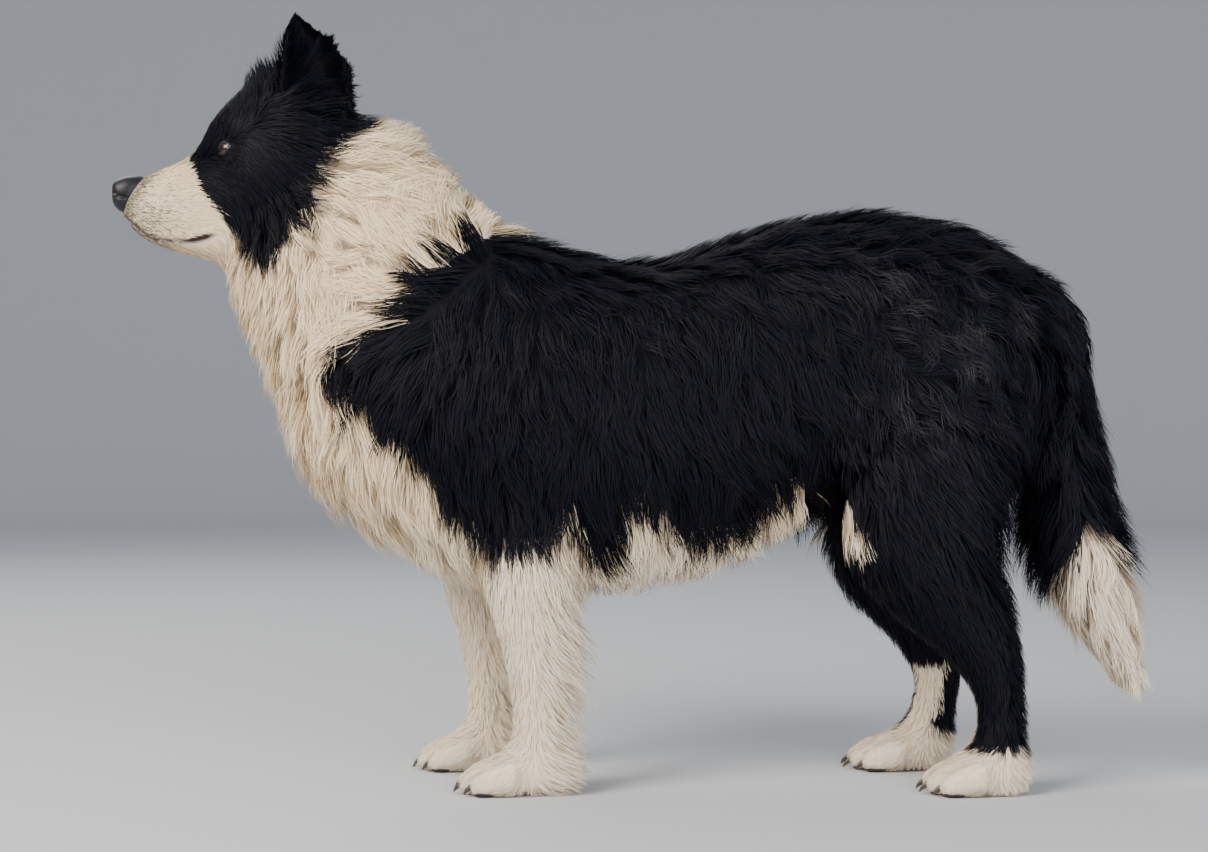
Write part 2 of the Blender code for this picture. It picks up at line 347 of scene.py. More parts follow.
# %% Model the face
EYE_MIDDLE = (-393, 37.5, 625)
EYE_RADIUS = 10.5
GAZE = (-0.80, 0.59, 0.06)
OPENING_AXIS = (-0.67, 0.74, 0.08)  # the lids open more to the side than the dog looks
EYE_OPENING = (50, 31)  # half its width and half its height, as angles seen from the ball's middle
EYE_SLANT = 13  # how much the outer corner is higher, in degrees
LID = 1.3
MOUTH = ((-502, 560), (-494, 554.5), (-484, 545), (-474, 540), (-459, 537), (-440, 536.5), (-425, 539), (-410, 542.5))
MOUTH_GROOVE = (3.4, 1.7)  # how deep the line between the lips is, and how wide
LIP_ROLL = (1.5, 4.5, 3.0)  # how far the upper lip stands out, how far above the line, and over what height
LIP_CORNER = (-452, -432)  # from the first x to the second the lips become dark and bare
# Pushes on both sides: the middle of the place (x, y, z), how far it reaches, how far it goes out.
PUSHES = (
    (-391, 40, 649, 14, 3.4),  # brow
    (-375, 49, 633, 15, 2.6),  # behind the brow
    (-411, 26, 619, 10, -2.0),  # hollow in front of the eye
    (-372, 54, 604, 24, 4.0),  # cheekbone
    (-394, 47, 598, 15, -1.5),  # below the eye
    (-487, 24, 572, 14, 2.8),  # whisker pad
    (-455, 31, 560, 16, 1.2),  # upper lip
    (-455, 28, 592, 14, -1.6),  # side of the bridge
    (-408, 0, 668, 12, -1.8),  # furrow of the forehead
    (-350, 0, 704, 18, -1.5),
)


def refine(obj, limit, times):
    """Divide the faces ahead of x = limit, some times over, and smooth them."""
    bm = bmesh.new()
    bm.from_mesh(obj.data)
    for _ in range(times):
        edges = [edge for edge in bm.edges if all(vert.co.x < limit for vert in edge.verts)]
        bmesh.ops.subdivide_edges(bm, edges=edges, cuts=1, use_grid_fill=True)
        verts = [vert for vert in bm.verts if vert.co.x < limit + 8 * MM]
        for _ in range(3):
            bmesh.ops.smooth_vert(bm, verts=verts, factor=0.5, use_axis_x=True, use_axis_y=True, use_axis_z=True)
    bm.to_mesh(obj.data)
    bm.free()
    obj.data.shade_smooth()


def distance_to(line, x, z):
    """How far points are from a line of rows (x, z), and whether they are above it. On each stretch of the line the
    nearest place is start + run * clip((point - start) . run / run . run, 0, 1)."""
    best, above = np.full(len(x), np.inf), np.zeros(len(x), bool)
    for (x1, z1), (x2, z2) in zip(line, line[1:]):
        run = np.array([x2 - x1, z2 - z1])
        part = np.clip(((x - x1) * run[0] + (z - z1) * run[1]) / (run @ run), 0, 1)
        dx, dz = x - x1 - part * run[0], z - z1 - part * run[1]
        gap = np.hypot(dx, dz)
        above = np.where(gap < best, dz > 0, above)
        best = np.minimum(best, gap)
    return best, above


def eye_axes(sign, ahead=OPENING_AXIS):
    """The eye's middle, the way ahead, and across that the ways to the outer corner and up."""
    middle = np.array(EYE_MIDDLE) * (1, sign, 1)
    gaze = np.array(ahead) * (1, sign, 1)
    gaze /= np.linalg.norm(gaze)
    level = np.cross((0, 0, 1), gaze) * -sign
    level /= np.linalg.norm(level)
    rise = np.cross(gaze, level) * -sign
    slant = np.radians(EYE_SLANT)
    along = level * np.cos(slant) + rise * np.sin(slant)
    return middle, gaze, along, rise * np.cos(slant) - level * np.sin(slant)


def opening(directions, gaze, along, up):
    """Below 1 inside the almond: |a / width| ** 2 + |b / (height * (1 - 0.35 |a / width| ** 2))| ** 2, where a and b
    are the angles from the gaze along the opening and up it."""
    ahead = directions @ gaze
    a = np.degrees(np.arctan2(directions @ along, ahead)) / EYE_OPENING[0]
    b = np.degrees(np.arctan2(directions @ up, ahead)) / EYE_OPENING[1]
    narrow = 1 - 0.35 * np.clip(np.abs(a), 0, 1.4) ** 2
    return a**2 + (b / narrow) ** 2


def behind_nose(x, z):
    """How far behind the nose leather's edge a place is: the edge is a line that slants down from the bridge."""
    return x + 484 + (600 - z) * 0.55


def model_face(points, normals):
    """Push the head's points into shape; gives the points, how bare (0 to 1) the skin is at each, and what part of
    that is the lips'."""
    x, y, z = (points / MM).T
    out = np.zeros(len(points))
    for px, py, pz, reach, push in PUSHES:
        gap = (x - px) ** 2 + (np.abs(y) - py) ** 2 + (z - pz) ** 2
        out += push * np.exp(-gap / reach**2)
    gap, above = distance_to(MOUTH, x, z)
    lips = np.clip((MOUTH[-1][0] + 4 - x) / 12, 0, 1) * (z < 575)
    groove = -MOUTH_GROOVE[0] * np.exp(-((gap / MOUTH_GROOVE[1]) ** 2))
    out += lips * (groove + LIP_ROLL[0] * above * np.exp(-(((gap - LIP_ROLL[1]) / LIP_ROLL[2]) ** 2)))
    corner = np.clip((x - LIP_CORNER[0]) / (LIP_CORNER[1] - LIP_CORNER[0]), 0, 1)
    lip = lips * np.clip((0.5 + 0.8 * corner) * np.exp(-((gap / (1.9 + 1.6 * corner)) ** 2)), 0, 1)
    bare = np.maximum(lip, np.clip(-behind_nose(x, z) / 1.5, 0, 1) * (z > 564))
    points = points / MM + out[:, None] * normals
    for sign in (-1, 1):
        middle, gaze, along, up = eye_axes(sign)
        way = points - middle
        radius = np.linalg.norm(way, axis=1)
        way /= radius[:, None]
        ahead = way @ gaze
        near = (ahead > -0.25) & (radius < 40)
        shape = opening(way, gaze, along, up)
        lid = np.clip(1 - (shape - 1) / 7.0, 0, 1) ** 2 * np.clip(ahead * 2.5, 0, 1)
        over = (EYE_RADIUS + LID + 1.2 * np.clip(shape - 1.3, 0, 2) ** 0.5) * lid + radius * (1 - lid)
        over = np.maximum(over, EYE_RADIUS + LID)
        new = np.where((shape < 1) & (ahead > 0), 0.84 * EYE_RADIUS, over)
        points[near] = middle + way[near] * new[near, None]
        bare[near] = np.maximum(bare[near], (np.clip(1.9 - shape[near], 0, 0.6) / 0.6) * (ahead[near] > 0))
    return points * MM, bare, lip


refine(skin, -368 * MM, 1)
refine(skin, -382 * MM, 1)
points, bareness, lips = model_face(rows_of(skin.data, "co"), rows_of(skin.data, "normal"))
faces = [list(face.vertices) for face in skin.data.polygons]
ears = [ear_wall(sign) for sign in (-1, 1)]
points, faces = stacked([(points, faces), *ears])
bareness, lips = (np.append(values, np.zeros(len(points) - len(values))) for values in (bareness, lips))
bpy.data.objects.remove(skin)
skin = new_piece("skin", points, faces)
print("skin with face and ears:", len(points), "points")

# %% [markdown]
# ## The outline and the skin as things to measure from
# The coat has to follow the body and stop at the outline, so both are put into trees that answer two questions
# fast: which point of the surface is nearest, and how far is it along this line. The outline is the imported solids
# joined into one, because the walls between them would stop a line too early.

# %% Trees to measure from
OUTLINE_VOXEL = 6.0 * MM


def solid_shell(node):
    """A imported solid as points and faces, with its doubled points merged."""
    bm = bmesh.new()
    bm.from_mesh(NODES[node].data)
    bmesh.ops.remove_doubles(bm, verts=bm.verts, dist=0.01 * MM)
    bm.verts.index_update()
    points = np.array([vert.co for vert in bm.verts])
    faces = [[vert.index for vert in face.verts] for face in bm.faces]
    bm.free()
    return points, faces


FLESH = [node for node in NODES if not node.startswith(("eye", "nose"))]
outline = fused("outline", [solid_shell(node) for node in FLESH], OUTLINE_VOXEL, 1)


def tree_of(mesh):
    """A search tree of a mesh's faces, with its points and face corners."""
    points = rows_of(mesh, "co")
    mesh.calc_loop_triangles()
    corners = np.empty(len(mesh.loop_triangles) * 3, int)
    mesh.loop_triangles.foreach_get("vertices", corners)
    corners = corners.reshape(-1, 3)
    return BVHTree.FromPolygons(points.tolist(), corners.tolist()), points, corners


outline_tree = tree_of(outline.data)[0]
bpy.data.objects.remove(outline)


def nearest(tree, points):
    """The nearest points of a tree's surface to these, and the surface's normals there."""
    found = [tree.find_nearest(point)[:2] for point in points.tolist()]
    return np.array([place for place, _ in found]), np.array([normal for _, normal in found])


def way_out(points, directions, furthest):
    """How far it is from each point along its direction to the outline; a point outside it has no way at all."""
    far = []
    for point, direction in zip(points.tolist(), directions.tolist()):
        normal, _, distance = outline_tree.ray_cast(point, direction, furthest)[1:]
        leaves = distance is not None and normal.dot(Vector(direction)) > 0
        far.append(distance if leaves else 0.0)
    return np.array(far)


# %% [markdown]
# ## The groomer's chart
# Hair has a lie. It runs back from the nose, down the cheeks and the ruff, back along the spine, and hangs down the
# sides. A groomer would draw it as arrows on a side view, and so does this table. Each row is a place (x, z), the
# way the hair points there (x, z), its length, how much it stands out from the body (0 to 1), how much it waves,
# and how wide one strand is. All lengths are in millimetres. Between the places the values are blended by distance.

# %% The chart
CHART = np.array(
    [
        # x, z, way x, way z, length, lift, wave, width
        # face
        (-495, 590, 1.0, -0.1, 6, 0.10, 0.0, 0.5),
        (-490, 545, 1.0, -0.3, 7, 0.12, 0.0, 0.5),
        (-460, 605, 1.0, 0.0, 8, 0.10, 0.0, 0.55),
        (-455, 530, 1.0, -0.4, 8, 0.12, 0.1, 0.5),
        (-428, 547, 1.0, 0.1, 6, 0.06, 0.0, 0.45),
        (-425, 530, 1.0, -0.3, 8, 0.12, 0.0, 0.45),
        (-425, 645, 0.5, 0.9, 9, 0.12, 0.0, 0.6),
        (-400, 600, 0.9, -0.4, 12, 0.12, 0.0, 0.6),
        (-402, 672, 0.5, 0.85, 14, 0.25, 0.1, 0.65),
        # crown and cheeks
        (-380, 694, -0.2, 1.0, 27, 0.95, 0.3, 0.65),
        (-360, 704, -0.35, 1.0, 38, 1.05, 0.4, 0.7),
        (-344, 704, -0.3, 1.0, 38, 1.05, 0.4, 0.7),
        (-320, 700, 1.0, 0.2, 26, 0.45, 0.3, 0.8),
        (-385, 560, 0.55, -0.85, 26, 0.20, 0.2, 0.8),
        (-355, 610, 0.7, -0.7, 24, 0.20, 0.2, 0.8),
        (-335, 655, 1.0, -0.1, 26, 0.30, 0.3, 0.8),
        (-345, 530, 0.40, -0.95, 36, 0.35, 0.4, 0.85),
        (-300, 620, 0.95, -0.3, 36, 0.40, 0.4, 0.9),
        (-285, 665, 1.0, 0.05, 34, 0.50, 0.3, 0.9),
        (-415, 510, 0.5, -0.85, 18, 0.25, 0.3, 0.8),
        # ears
        (-330, 742, 0.2, 1.0, 8, 0.20, 0.0, 0.6),
        (-342, 722, -0.5, 0.9, 15, 0.75, 0.1, 0.6),
        (-296, 726, 0.5, 0.85, 24, 0.75, 0.2, 0.65),
        (-282, 700, 1.0, 0.1, 26, 0.40, 0.3, 0.8),
        # ruff
        (-385, 500, 0.15, -1.0, 40, 0.35, 0.6, 0.8),
        (-390, 440, 0.10, -1.0, 48, 0.40, 0.9, 0.85),
        (-370, 370, 0.20, -1.0, 50, 0.45, 1.0, 0.85),
        (-330, 320, 0.45, -0.9, 52, 0.45, 1.0, 0.85),
        (-260, 270, 0.6, -0.8, 54, 0.40, 1.0, 0.85),
        (-190, 215, 0.6, -0.8, 50, 0.35, 0.8, 0.85),
        (-320, 560, 0.6, -0.8, 48, 0.40, 1.0, 0.8),
        (-270, 610, 0.9, -0.3, 50, 0.55, 1.0, 0.8),
        (-235, 655, 0.6, 0.8, 58, 0.85, 1.1, 0.85),
        (-190, 615, 0.6, 0.75, 56, 0.85, 1.1, 0.85),
        (-230, 590, 0.85, -0.1, 52, 0.55, 1.0, 0.85),
        (-290, 510, 0.5, -0.9, 52, 0.45, 1.1, 0.85),
        (-310, 440, 0.4, -0.9, 52, 0.45, 1.1, 0.85),
        (-280, 370, 0.4, -0.9, 54, 0.45, 1.1, 0.85),
        # the black hair of the shoulder, which is swept ahead over the white
        (-150, 570, 0.8, 0.6, 44, 0.60, 0.7, 1.0),
        (-172, 548, -0.1, 1.0, 40, 0.55, 0.7, 1.0),
        (-190, 520, -0.7, 0.45, 44, 0.55, 0.7, 1.0),
        (-240, 445, -0.95, -0.35, 52, 0.55, 0.7, 1.0),
        (-222, 395, -0.35, -0.95, 52, 0.40, 0.7, 1.05),
        # saddle and sides
        (-105, 548, 0.8, -0.4, 46, 0.35, 0.6, 0.95),
        (-140, 510, -0.3, -0.9, 48, 0.35, 0.7, 0.95),
        (-140, 460, 0.05, -1.0, 54, 0.28, 0.7, 1.0),
        (-185, 340, 0.1, -1.0, 58, 0.30, 0.6, 1.0),
        (-100, 350, 0.2, -1.0, 58, 0.26, 0.9, 1.0),
        (-130, 270, 0.15, -1.0, 50, 0.22, 0.5, 1.0),
        (-50, 528, 0.75, -0.75, 42, 0.28, 0.5, 0.95),
        (-30, 430, 0.3, -0.95, 56, 0.25, 0.8, 1.05),
        (0, 280, 0.15, -1.0, 64, 0.25, 0.6, 1.05),
        (50, 532, 0.75, -0.75, 42, 0.26, 0.6, 0.95),
        (60, 430, 0.35, -0.95, 56, 0.25, 0.9, 1.05),
        (90, 290, 0.25, -1.0, 60, 0.25, 0.9, 1.05),
        (150, 557, 0.85, -0.5, 42, 0.28, 0.7, 0.95),
        (150, 440, 0.5, -0.9, 54, 0.27, 1.1, 1.05),
        (170, 320, 0.35, -1.0, 56, 0.25, 0.6, 1.05),
        (250, 567, 0.85, -0.4, 44, 0.34, 1.2, 0.95),
        (250, 480, 0.75, -0.7, 46, 0.32, 1.8, 1.0),
        (270, 400, 0.6, -0.8, 48, 0.30, 1.7, 1.0),
        (340, 550, 0.8, -0.6, 50, 0.40, 1.5, 1.0),
        (340, 440, 0.6, -0.85, 50, 0.30, 1.7, 1.0),
        (405, 490, 0.6, -0.8, 52, 0.45, 1.0, 1.0),
        # hind legs
        (260, 330, 0.45, -0.95, 44, 0.22, 0.7, 1.2),
        (330, 300, 0.5, -0.9, 48, 0.25, 0.7, 1.1),
        (366, 300, 0.6, -0.85, 54, 0.60, 0.6, 1.0),
        (355, 230, 0.4, -0.95, 46, 0.40, 0.6, 1.0),
        (225, 225, 0.5, -0.9, 26, 0.20, 0.3, 0.9),
        (300, 160, 0.5, -0.9, 18, 0.15, 0.1, 0.75),
        (372, 160, 0.25, -1.0, 24, 0.25, 0.2, 0.8),
        (335, 85, 0.1, -1.0, 11, 0.12, 0.0, 0.65),
        (378, 80, 0.15, -1.0, 18, 0.22, 0.1, 0.7),
        (330, 42, -0.6, -0.8, 12, 0.18, 0.0, 0.65),
        (295, 15, -0.8, -0.75, 11, 0.25, 0.0, 0.55),
        (380, 20, 0.5, -0.8, 16, 0.30, 0.1, 0.7),
        # forelegs
        (-120, 220, 0.1, -1.0, 22, 0.18, 0.2, 0.7),
        (-55, 220, 0.35, -0.95, 44, 0.40, 0.5, 0.75),
        (-120, 130, 0.1, -1.0, 13, 0.14, 0.1, 0.6),
        (-62, 130, 0.6, -0.8, 40, 0.80, 0.4, 0.65),
        (-112, 70, 0.0, -1.0, 11, 0.12, 0.0, 0.65),
        (-64, 60, 0.65, -0.75, 30, 0.80, 0.3, 0.6),
        (-125, 38, -0.7, -0.7, 12, 0.18, 0.0, 0.65),
        (-158, 15, -0.8, -0.75, 11, 0.25, 0.0, 0.55),
        (-60, 20, 0.9, -0.4, 34, 0.75, 0.2, 0.6),
        # tail
        (402, 400, -0.05, -1.0, 50, 0.55, 0.7, 1.0),
        (404, 330, -0.12, -1.0, 56, 0.80, 0.7, 1.0),
        (408, 270, -0.12, -1.0, 54, 0.85, 0.7, 1.0),
        (425, 460, 0.35, -0.95, 62, 0.60, 0.8, 1.1),
        (450, 340, 0.3, -1.0, 66, 0.60, 0.9, 1.1),
        (462, 230, 0.25, -1.0, 62, 0.60, 0.8, 1.05),
        (485, 130, 0.3, -0.95, 48, 0.45, 0.6, 1.0),
    ]
)
# Millimetres over which one place's values fade into the next: little on the head and low on the legs.
CHART_REACH = np.where((CHART[:, 0] < -280) & (CHART[:, 1] > 500) | (CHART[:, 1] < 240), 20.0, 40.0)
WAY, LENGTH, LIFT, WAVE, WIDTH = slice(2, 4), 4, 5, 6, 7


def left_feet_frame(points):
    """The points in millimetres, with the right legs moved back to where the left ones stand."""
    moved = points / MM
    low = np.clip(1 - (moved[:, 2] - 180) / 60, 0, 1)
    right = (moved[:, 1] > 0) * low
    fore, hind = moved_ahead(FORE_STRIDE, moved[:, 2]), moved_ahead(HIND_STRIDE, moved[:, 2])
    moved[:, 0] += right * np.where(moved[:, 0] < 80, fore, hind)
    return moved


def chart_at(points):
    """The chart's values at each point: a mean of all places, weighted by exp(-(distance / reach) squared)."""
    moved = left_feet_frame(points)
    out = np.empty((len(points), CHART.shape[1]))
    for part in np.array_split(np.arange(len(points)), max(1, len(points) // 20000)):
        gap = (moved[part, 0, None] - CHART[None, :, 0]) ** 2 + (moved[part, 2, None] - CHART[None, :, 1]) ** 2
        nearest_gap = (gap / CHART_REACH**2).min(1, keepdims=True)
        weight = np.exp(nearest_gap - gap / CHART_REACH**2)
        out[part] = weight @ CHART / weight.sum(1, keepdims=True)
    return out


# %% [markdown]
# ## The markings
# The coat is black over a white dog. The edges of the black are drawn once, as outlines on the side view, and the
# same function colours both the bare skin and every hair, so no white skin shows through black hair. An outline is
# enough because the two sides of this dog match.

# %% Markings
# The front and lower edge of the black saddle, from the withers down and back to the thigh, then round the rear.
SADDLE = (
    (-92, 900), (-92, 570), (-118, 552), (-144, 536), (-166, 520), (-186, 502), (-203, 484), (-212, 466),
    (-232, 452), (-262, 441), (-292, 420), (-284, 403), (-262, 398), (-258, 378), (-238, 372), (-224, 356),
    (-211, 332), (-196, 307), (-172, 284), (-152, 250), (-90, 244), (-72, 266), (-57, 269), (-46, 250),
    (-38, 226), (-24, 216), (-17, 238), (-8, 266), (5, 292), (20, 286), (40, 270), (57, 248), (67, 229), (75, 219),
    (86, 227), (101, 246), (118, 267), (136, 290), (150, 308), (160, 308), (166, 298), (170, 284), (173, 268),
    (173, 150), (173, -50), (700, -50), (700, 900),
)  # fmt: skip
# The edge of the black on the head, from the side of the nose's bridge down to the cheek and round by the nape.
MASK = (
    (-445, 622), (-433, 604), (-425, 584), (-403, 559), (-384, 541), (-371, 529), (-356, 523), (-346, 530),
    (-336, 546), (-325, 556), (-312, 574), (-306, 592), (-303, 615), (-275, 648), (-268, 700), (-300, 760),
    (-400, 760), (-440, 680), (-436, 640),
)  # fmt: skip
BLAZE = (630, 7, 665, 3)  # height and half width of the white stripe at its foot and at its top
BLAZE_REAR = -395  # it ends at this x
MUZZLE_REAR = -425  # ahead of this x there are freckles
THIGH_PATCH = (209, 264, 9.5, 26, 0.6)  # middle, radii, and how far it leans back per unit down
THIGH_INSIDE = 64  # the patch isn't seen nearer the middle plane than this
PAW_WHITE = (200, 44)  # the feet behind this x are white below this height
SHANK_WHITE = (230, 356, 72, 112)  # white from x to x, nearer the middle plane than this, below this height
BELLY_WHITE = (-0.75, 62, 150, 300)  # facing down by this, nearer the middle than this, ahead of x, below z
TAIL_TIP = (455, 264, 1.45, 1.15)  # the white tip's top is a point (x, z), and its edges fall by these slopes
TAIL_START = 390  # the tail's hair lies behind this x
# Where the coat is glossiest, and where its black tips get a painted sheen.
GLOSS_AND_PAINTED_SHEEN = (290, 0, 445, 90)  # the middle (x, y, z) of the glossy rump and how far it reaches
CREAM_HEIGHTS = (230, 310)  # white hair isn't creamy below the first height, and is fully so above the second
FRECKLES = 0.34  # share of grey hairs near the nose and on the whisker pads
WHISKER_PAD = (-474, 560, 22, 17)  # middle and radii


def inside(outline, x, z):
    """Which points lie inside a closed outline, by counting the edges to their right."""
    found = np.zeros(len(x), bool)
    for (x1, z1), (x2, z2) in zip(outline, outline[1:] + outline[:1]):
        if z1 != z2:
            crossing = (z1 > z) != (z2 > z)
            found ^= crossing & (x < (x2 - x1) * (z - z1) / (z2 - z1) + x1)
    return found


def whiteness(points, normals, ragged):
    """1 where the coat is white and 0 where it is black; the edges waver by up to ragged millimetres."""
    x, y, z = (left_feet_frame(points) + rng.uniform(-ragged, ragged, points.shape)).T
    black = inside(SADDLE, x, z)
    y = np.abs(y)
    shank = (x > SHANK_WHITE[0]) & (x < SHANK_WHITE[1]) & (y < SHANK_WHITE[2]) & (z < SHANK_WHITE[3])
    black &= ~((x > PAW_WHITE[0]) & (z < PAW_WHITE[1])) & ~shank
    down = THIGH_PATCH[1] - z
    leaf = ((x - THIGH_PATCH[0] - THIGH_PATCH[4] * down) / THIGH_PATCH[2]) ** 2 + (down / THIGH_PATCH[3]) ** 2
    black &= (leaf > 1) | (y < THIGH_INSIDE)
    slope = np.where(x < TAIL_TIP[0], TAIL_TIP[2], TAIL_TIP[3])
    black &= ~((x > TAIL_START) & (z < TAIL_TIP[1] - slope * np.abs(x - TAIL_TIP[0])))
    downward, half_width, rear, top = BELLY_WHITE
    black &= ~((normals[:, 2] < downward) & (y < half_width) & (x < rear) & (z < top))
    mask = inside(MASK, x, z)
    stripe = BLAZE[1] + (BLAZE[3] - BLAZE[1]) * (z - BLAZE[0]) / (BLAZE[2] - BLAZE[0])
    mask &= ~((x < BLAZE_REAR) & (y < stripe) & (z < BLAZE[2]))
    black |= mask
    muzzle = (x < MUZZLE_REAR) & ~black
    smoke = np.exp(-((behind_nose(x, z) / 10) ** 2)) * (z > 548)
    pad_x, pad_z, pad_length, pad_height = WHISKER_PAD
    pads = np.exp(-(((x - pad_x) / pad_length) ** 2) - ((z - pad_z) / pad_height) ** 2)
    lip = np.exp(-((distance_to(MOUTH, x, z)[0] / 8) ** 2)) * np.clip((-430 - x) / 40, 0, 1)
    freckle = muzzle & (rng.random(len(x)) < FRECKLES * (2.8 * smoke + 1.4 * pads + 1.6 * lip + 0.08))
    return np.where(black, 0.0, np.where(freckle, rng.uniform(0.05, 0.5, len(x)), 1.0))


# %% [markdown]
# ## How a coat grows
# A hair is drawn as a thin ribbon that narrows to a point. The first hairs to grow are guides. A guide starts on
# the skin and walks: each step follows the chart, keeps off the skin, rises towards the outline and never passes
# it. Then every hair copies its nearest guide and closes in on it towards the tip, which makes the locks of a long
# coat. Combing each hair on its own would look like a brush, and cards with a hair picture can't be exported.

# %% The coat's growth
STEPS = 7
CLEARANCE = 0.8 * MM  # hairs keep this far off the skin and the floor
TOUSLE = 0.26  # how much the locks differ in their way, where the chart's wave is 1
FREE_LIFT = 0.6  # hair that stands out more than this may leave the outline as loose ends
LONGEST_REACH = 160 * MM


def unit(vectors):
    """Vectors of the same directions, one long."""
    return vectors / np.maximum(np.linalg.norm(vectors, axis=-1, keepdims=True), 1e-9)


def grow_guides(skin_tree, roots, normals, chart, fullness):
    """Paths of the guides and the body's direction outwards along them.
    point(k+1) = point(k) + step * unit(0.6 * last way + combed way) + out * rise, where the rise closes half the
    gap to depth * fullness * (1 - (1 - t) ** (1 + 4 * lift))."""
    comb = unit(np.stack([chart[:, WAY][:, 0], np.zeros(len(roots)), chart[:, WAY][:, 1]], 1))
    askew = unit(np.cross(normals, comb)) * rng.normal(0, TOUSLE, (len(roots), 1)) * chart[:, WAVE, None]
    comb = unit(comb + askew)
    length, lift = chart[:, LENGTH] * MM, chart[:, LIFT]
    free = length * np.clip(lift - FREE_LIFT, 0, 1) * 1.6
    step = (length / STEPS)[:, None]
    point, out = roots.copy(), normals.copy()
    way = unit(comb - np.minimum((comb * out).sum(1), 0)[:, None] * out + lift[:, None] * out)
    paths, outs = [point], [out]
    for k in range(STEPS):
        against = np.minimum((comb * out).sum(1), 0)[:, None]
        way = unit(0.6 * way + unit(comb - against * out))
        point = point + step * way
        skin_point, skin_out = nearest(skin_tree, point)
        gap = point - skin_point
        height = (gap * skin_out).sum(1)
        out = unit(np.where((height > 1.5 * MM)[:, None], gap, skin_out) + 0.5 * skin_out)
        depth = way_out(skin_point, out, LONGEST_REACH)
        t = (k + 1) / STEPS
        cap = np.minimum(depth * fullness, length * (0.35 + lift)) + free * t
        target = np.maximum(cap * (1 - (1 - t) ** (1 + 4 * lift)), CLEARANCE)
        height = np.maximum(height, 0)
        rise = np.where(height < target, 0.5 * (target - height), 0)
        rise += np.where(height > cap, cap - height, 0)
        rise = np.maximum(rise, CLEARANCE - height)
        point = point + rise[:, None] * out
        paths.append(point)
        outs.append(out)
    return np.stack(paths, 1), np.stack(outs, 1)


def along_path(paths, at):
    """Points at the given parts (0 to 1 and a little past it) of each path's length."""
    place = np.clip(at, 0, None) * (paths.shape[1] - 1)
    low = np.minimum(place.astype(int), paths.shape[1] - 2)
    part = (place - low)[..., None]
    rows = np.arange(len(paths))[:, None]
    return paths[rows, low] * (1 - part) + paths[rows, low + 1] * part


HAIRS_TO_A_WISP = 6
LOOSE_SHARE = 0.4  # of the hairs keep out of the locks and fill the gaps between them


def closest(places, points):
    """For each point, which of the places is nearest."""
    tree = kdtree.KDTree(len(places))
    for index, place in enumerate(places.tolist()):
        tree.insert(place, index)
    tree.balance()
    return np.array([tree.find(point)[1] for point in points.tolist()])


def grow_hairs(roots, chart, guide_roots, guide_paths, guide_outs, segments, tight, wispy):
    """Hair paths of some segments, the outward directions along them, and which guide leads each hair.
    hair(t) = guide(t * size) + (wisp's middle - guide's root) * (1 - tight * t) + (root - wisp's middle)
    * (1 - wispy * t) + wave * t * sin(speed * t + the lock's turn), sunk into the coat a little."""
    own = closest(guide_roots, roots)
    count = len(roots)
    middles = roots[rng.permutation(count)[: max(1, count // HAIRS_TO_A_WISP)]]
    middle = middles[closest(middles, roots)]
    t = (np.arange(segments + 1) / segments)[None, :]
    size = rng.uniform(0.62, 1.08, (count, 1)) * rng.uniform(0.85, 1.05, (len(guide_roots), 1))[own]
    path = along_path(guide_paths[own], t * size)
    out = unit(along_path(guide_outs[own], np.minimum(t * size, 1)))
    height = ((path - path[:, :1]) * out).sum(-1, keepdims=True)
    tight = tight * np.where(rng.random((count, 1)) < LOOSE_SHARE, 0.15, 1.1)
    lock = (middle - guide_roots[own])[:, None] * (1 - tight * t**0.8)[..., None]
    wisp = (roots - middle)[:, None] * (1 - wispy * t)[..., None]
    sunk = rng.random((count, 1)) ** 1.5 * 0.6
    way = unit(np.gradient(path, axis=1))
    side = unit(np.cross(way, out))
    length = chart[:, LENGTH, None] * MM
    turns = rng.uniform(0, 2 * np.pi, (len(guide_roots), 1))[own]
    speed = rng.uniform(4.0, 7.5, (len(guide_roots), 1))[own]
    swing = np.sin(t * speed + turns) - np.sin(turns)
    rise = np.cos(t * speed * 1.1 + turns) - np.cos(turns)
    bend = rng.normal(0, 0.06, (count, 1)) * length * t**1.6
    size = chart[:, WAVE, None] * 0.075 * length * t**0.7
    stray = (rng.random((count, 1)) < 0.04) * rng.uniform(0, 0.16, (count, 1)) * length * t**1.5
    flick = chart[:, WAVE, None] * rng.uniform(0, 0.10, (len(guide_roots), 1))[own] * length * t**2.5
    path = path + lock + wisp + side * (bend + size * swing)[..., None]
    path = path + out * ((stray + flick + 0.45 * size * rise)[..., None] - sunk[..., None] * height)
    path[..., 2] = np.maximum(path[..., 2], CLEARANCE)
    return path, out, own


MAP_EDGE, MAP_SPREAD = 0.01, 0.977  # where the first roots lie on the map, and how far the others spread from there
HAIR_ON_MAP = 0.003  # width and height of one hair's patch


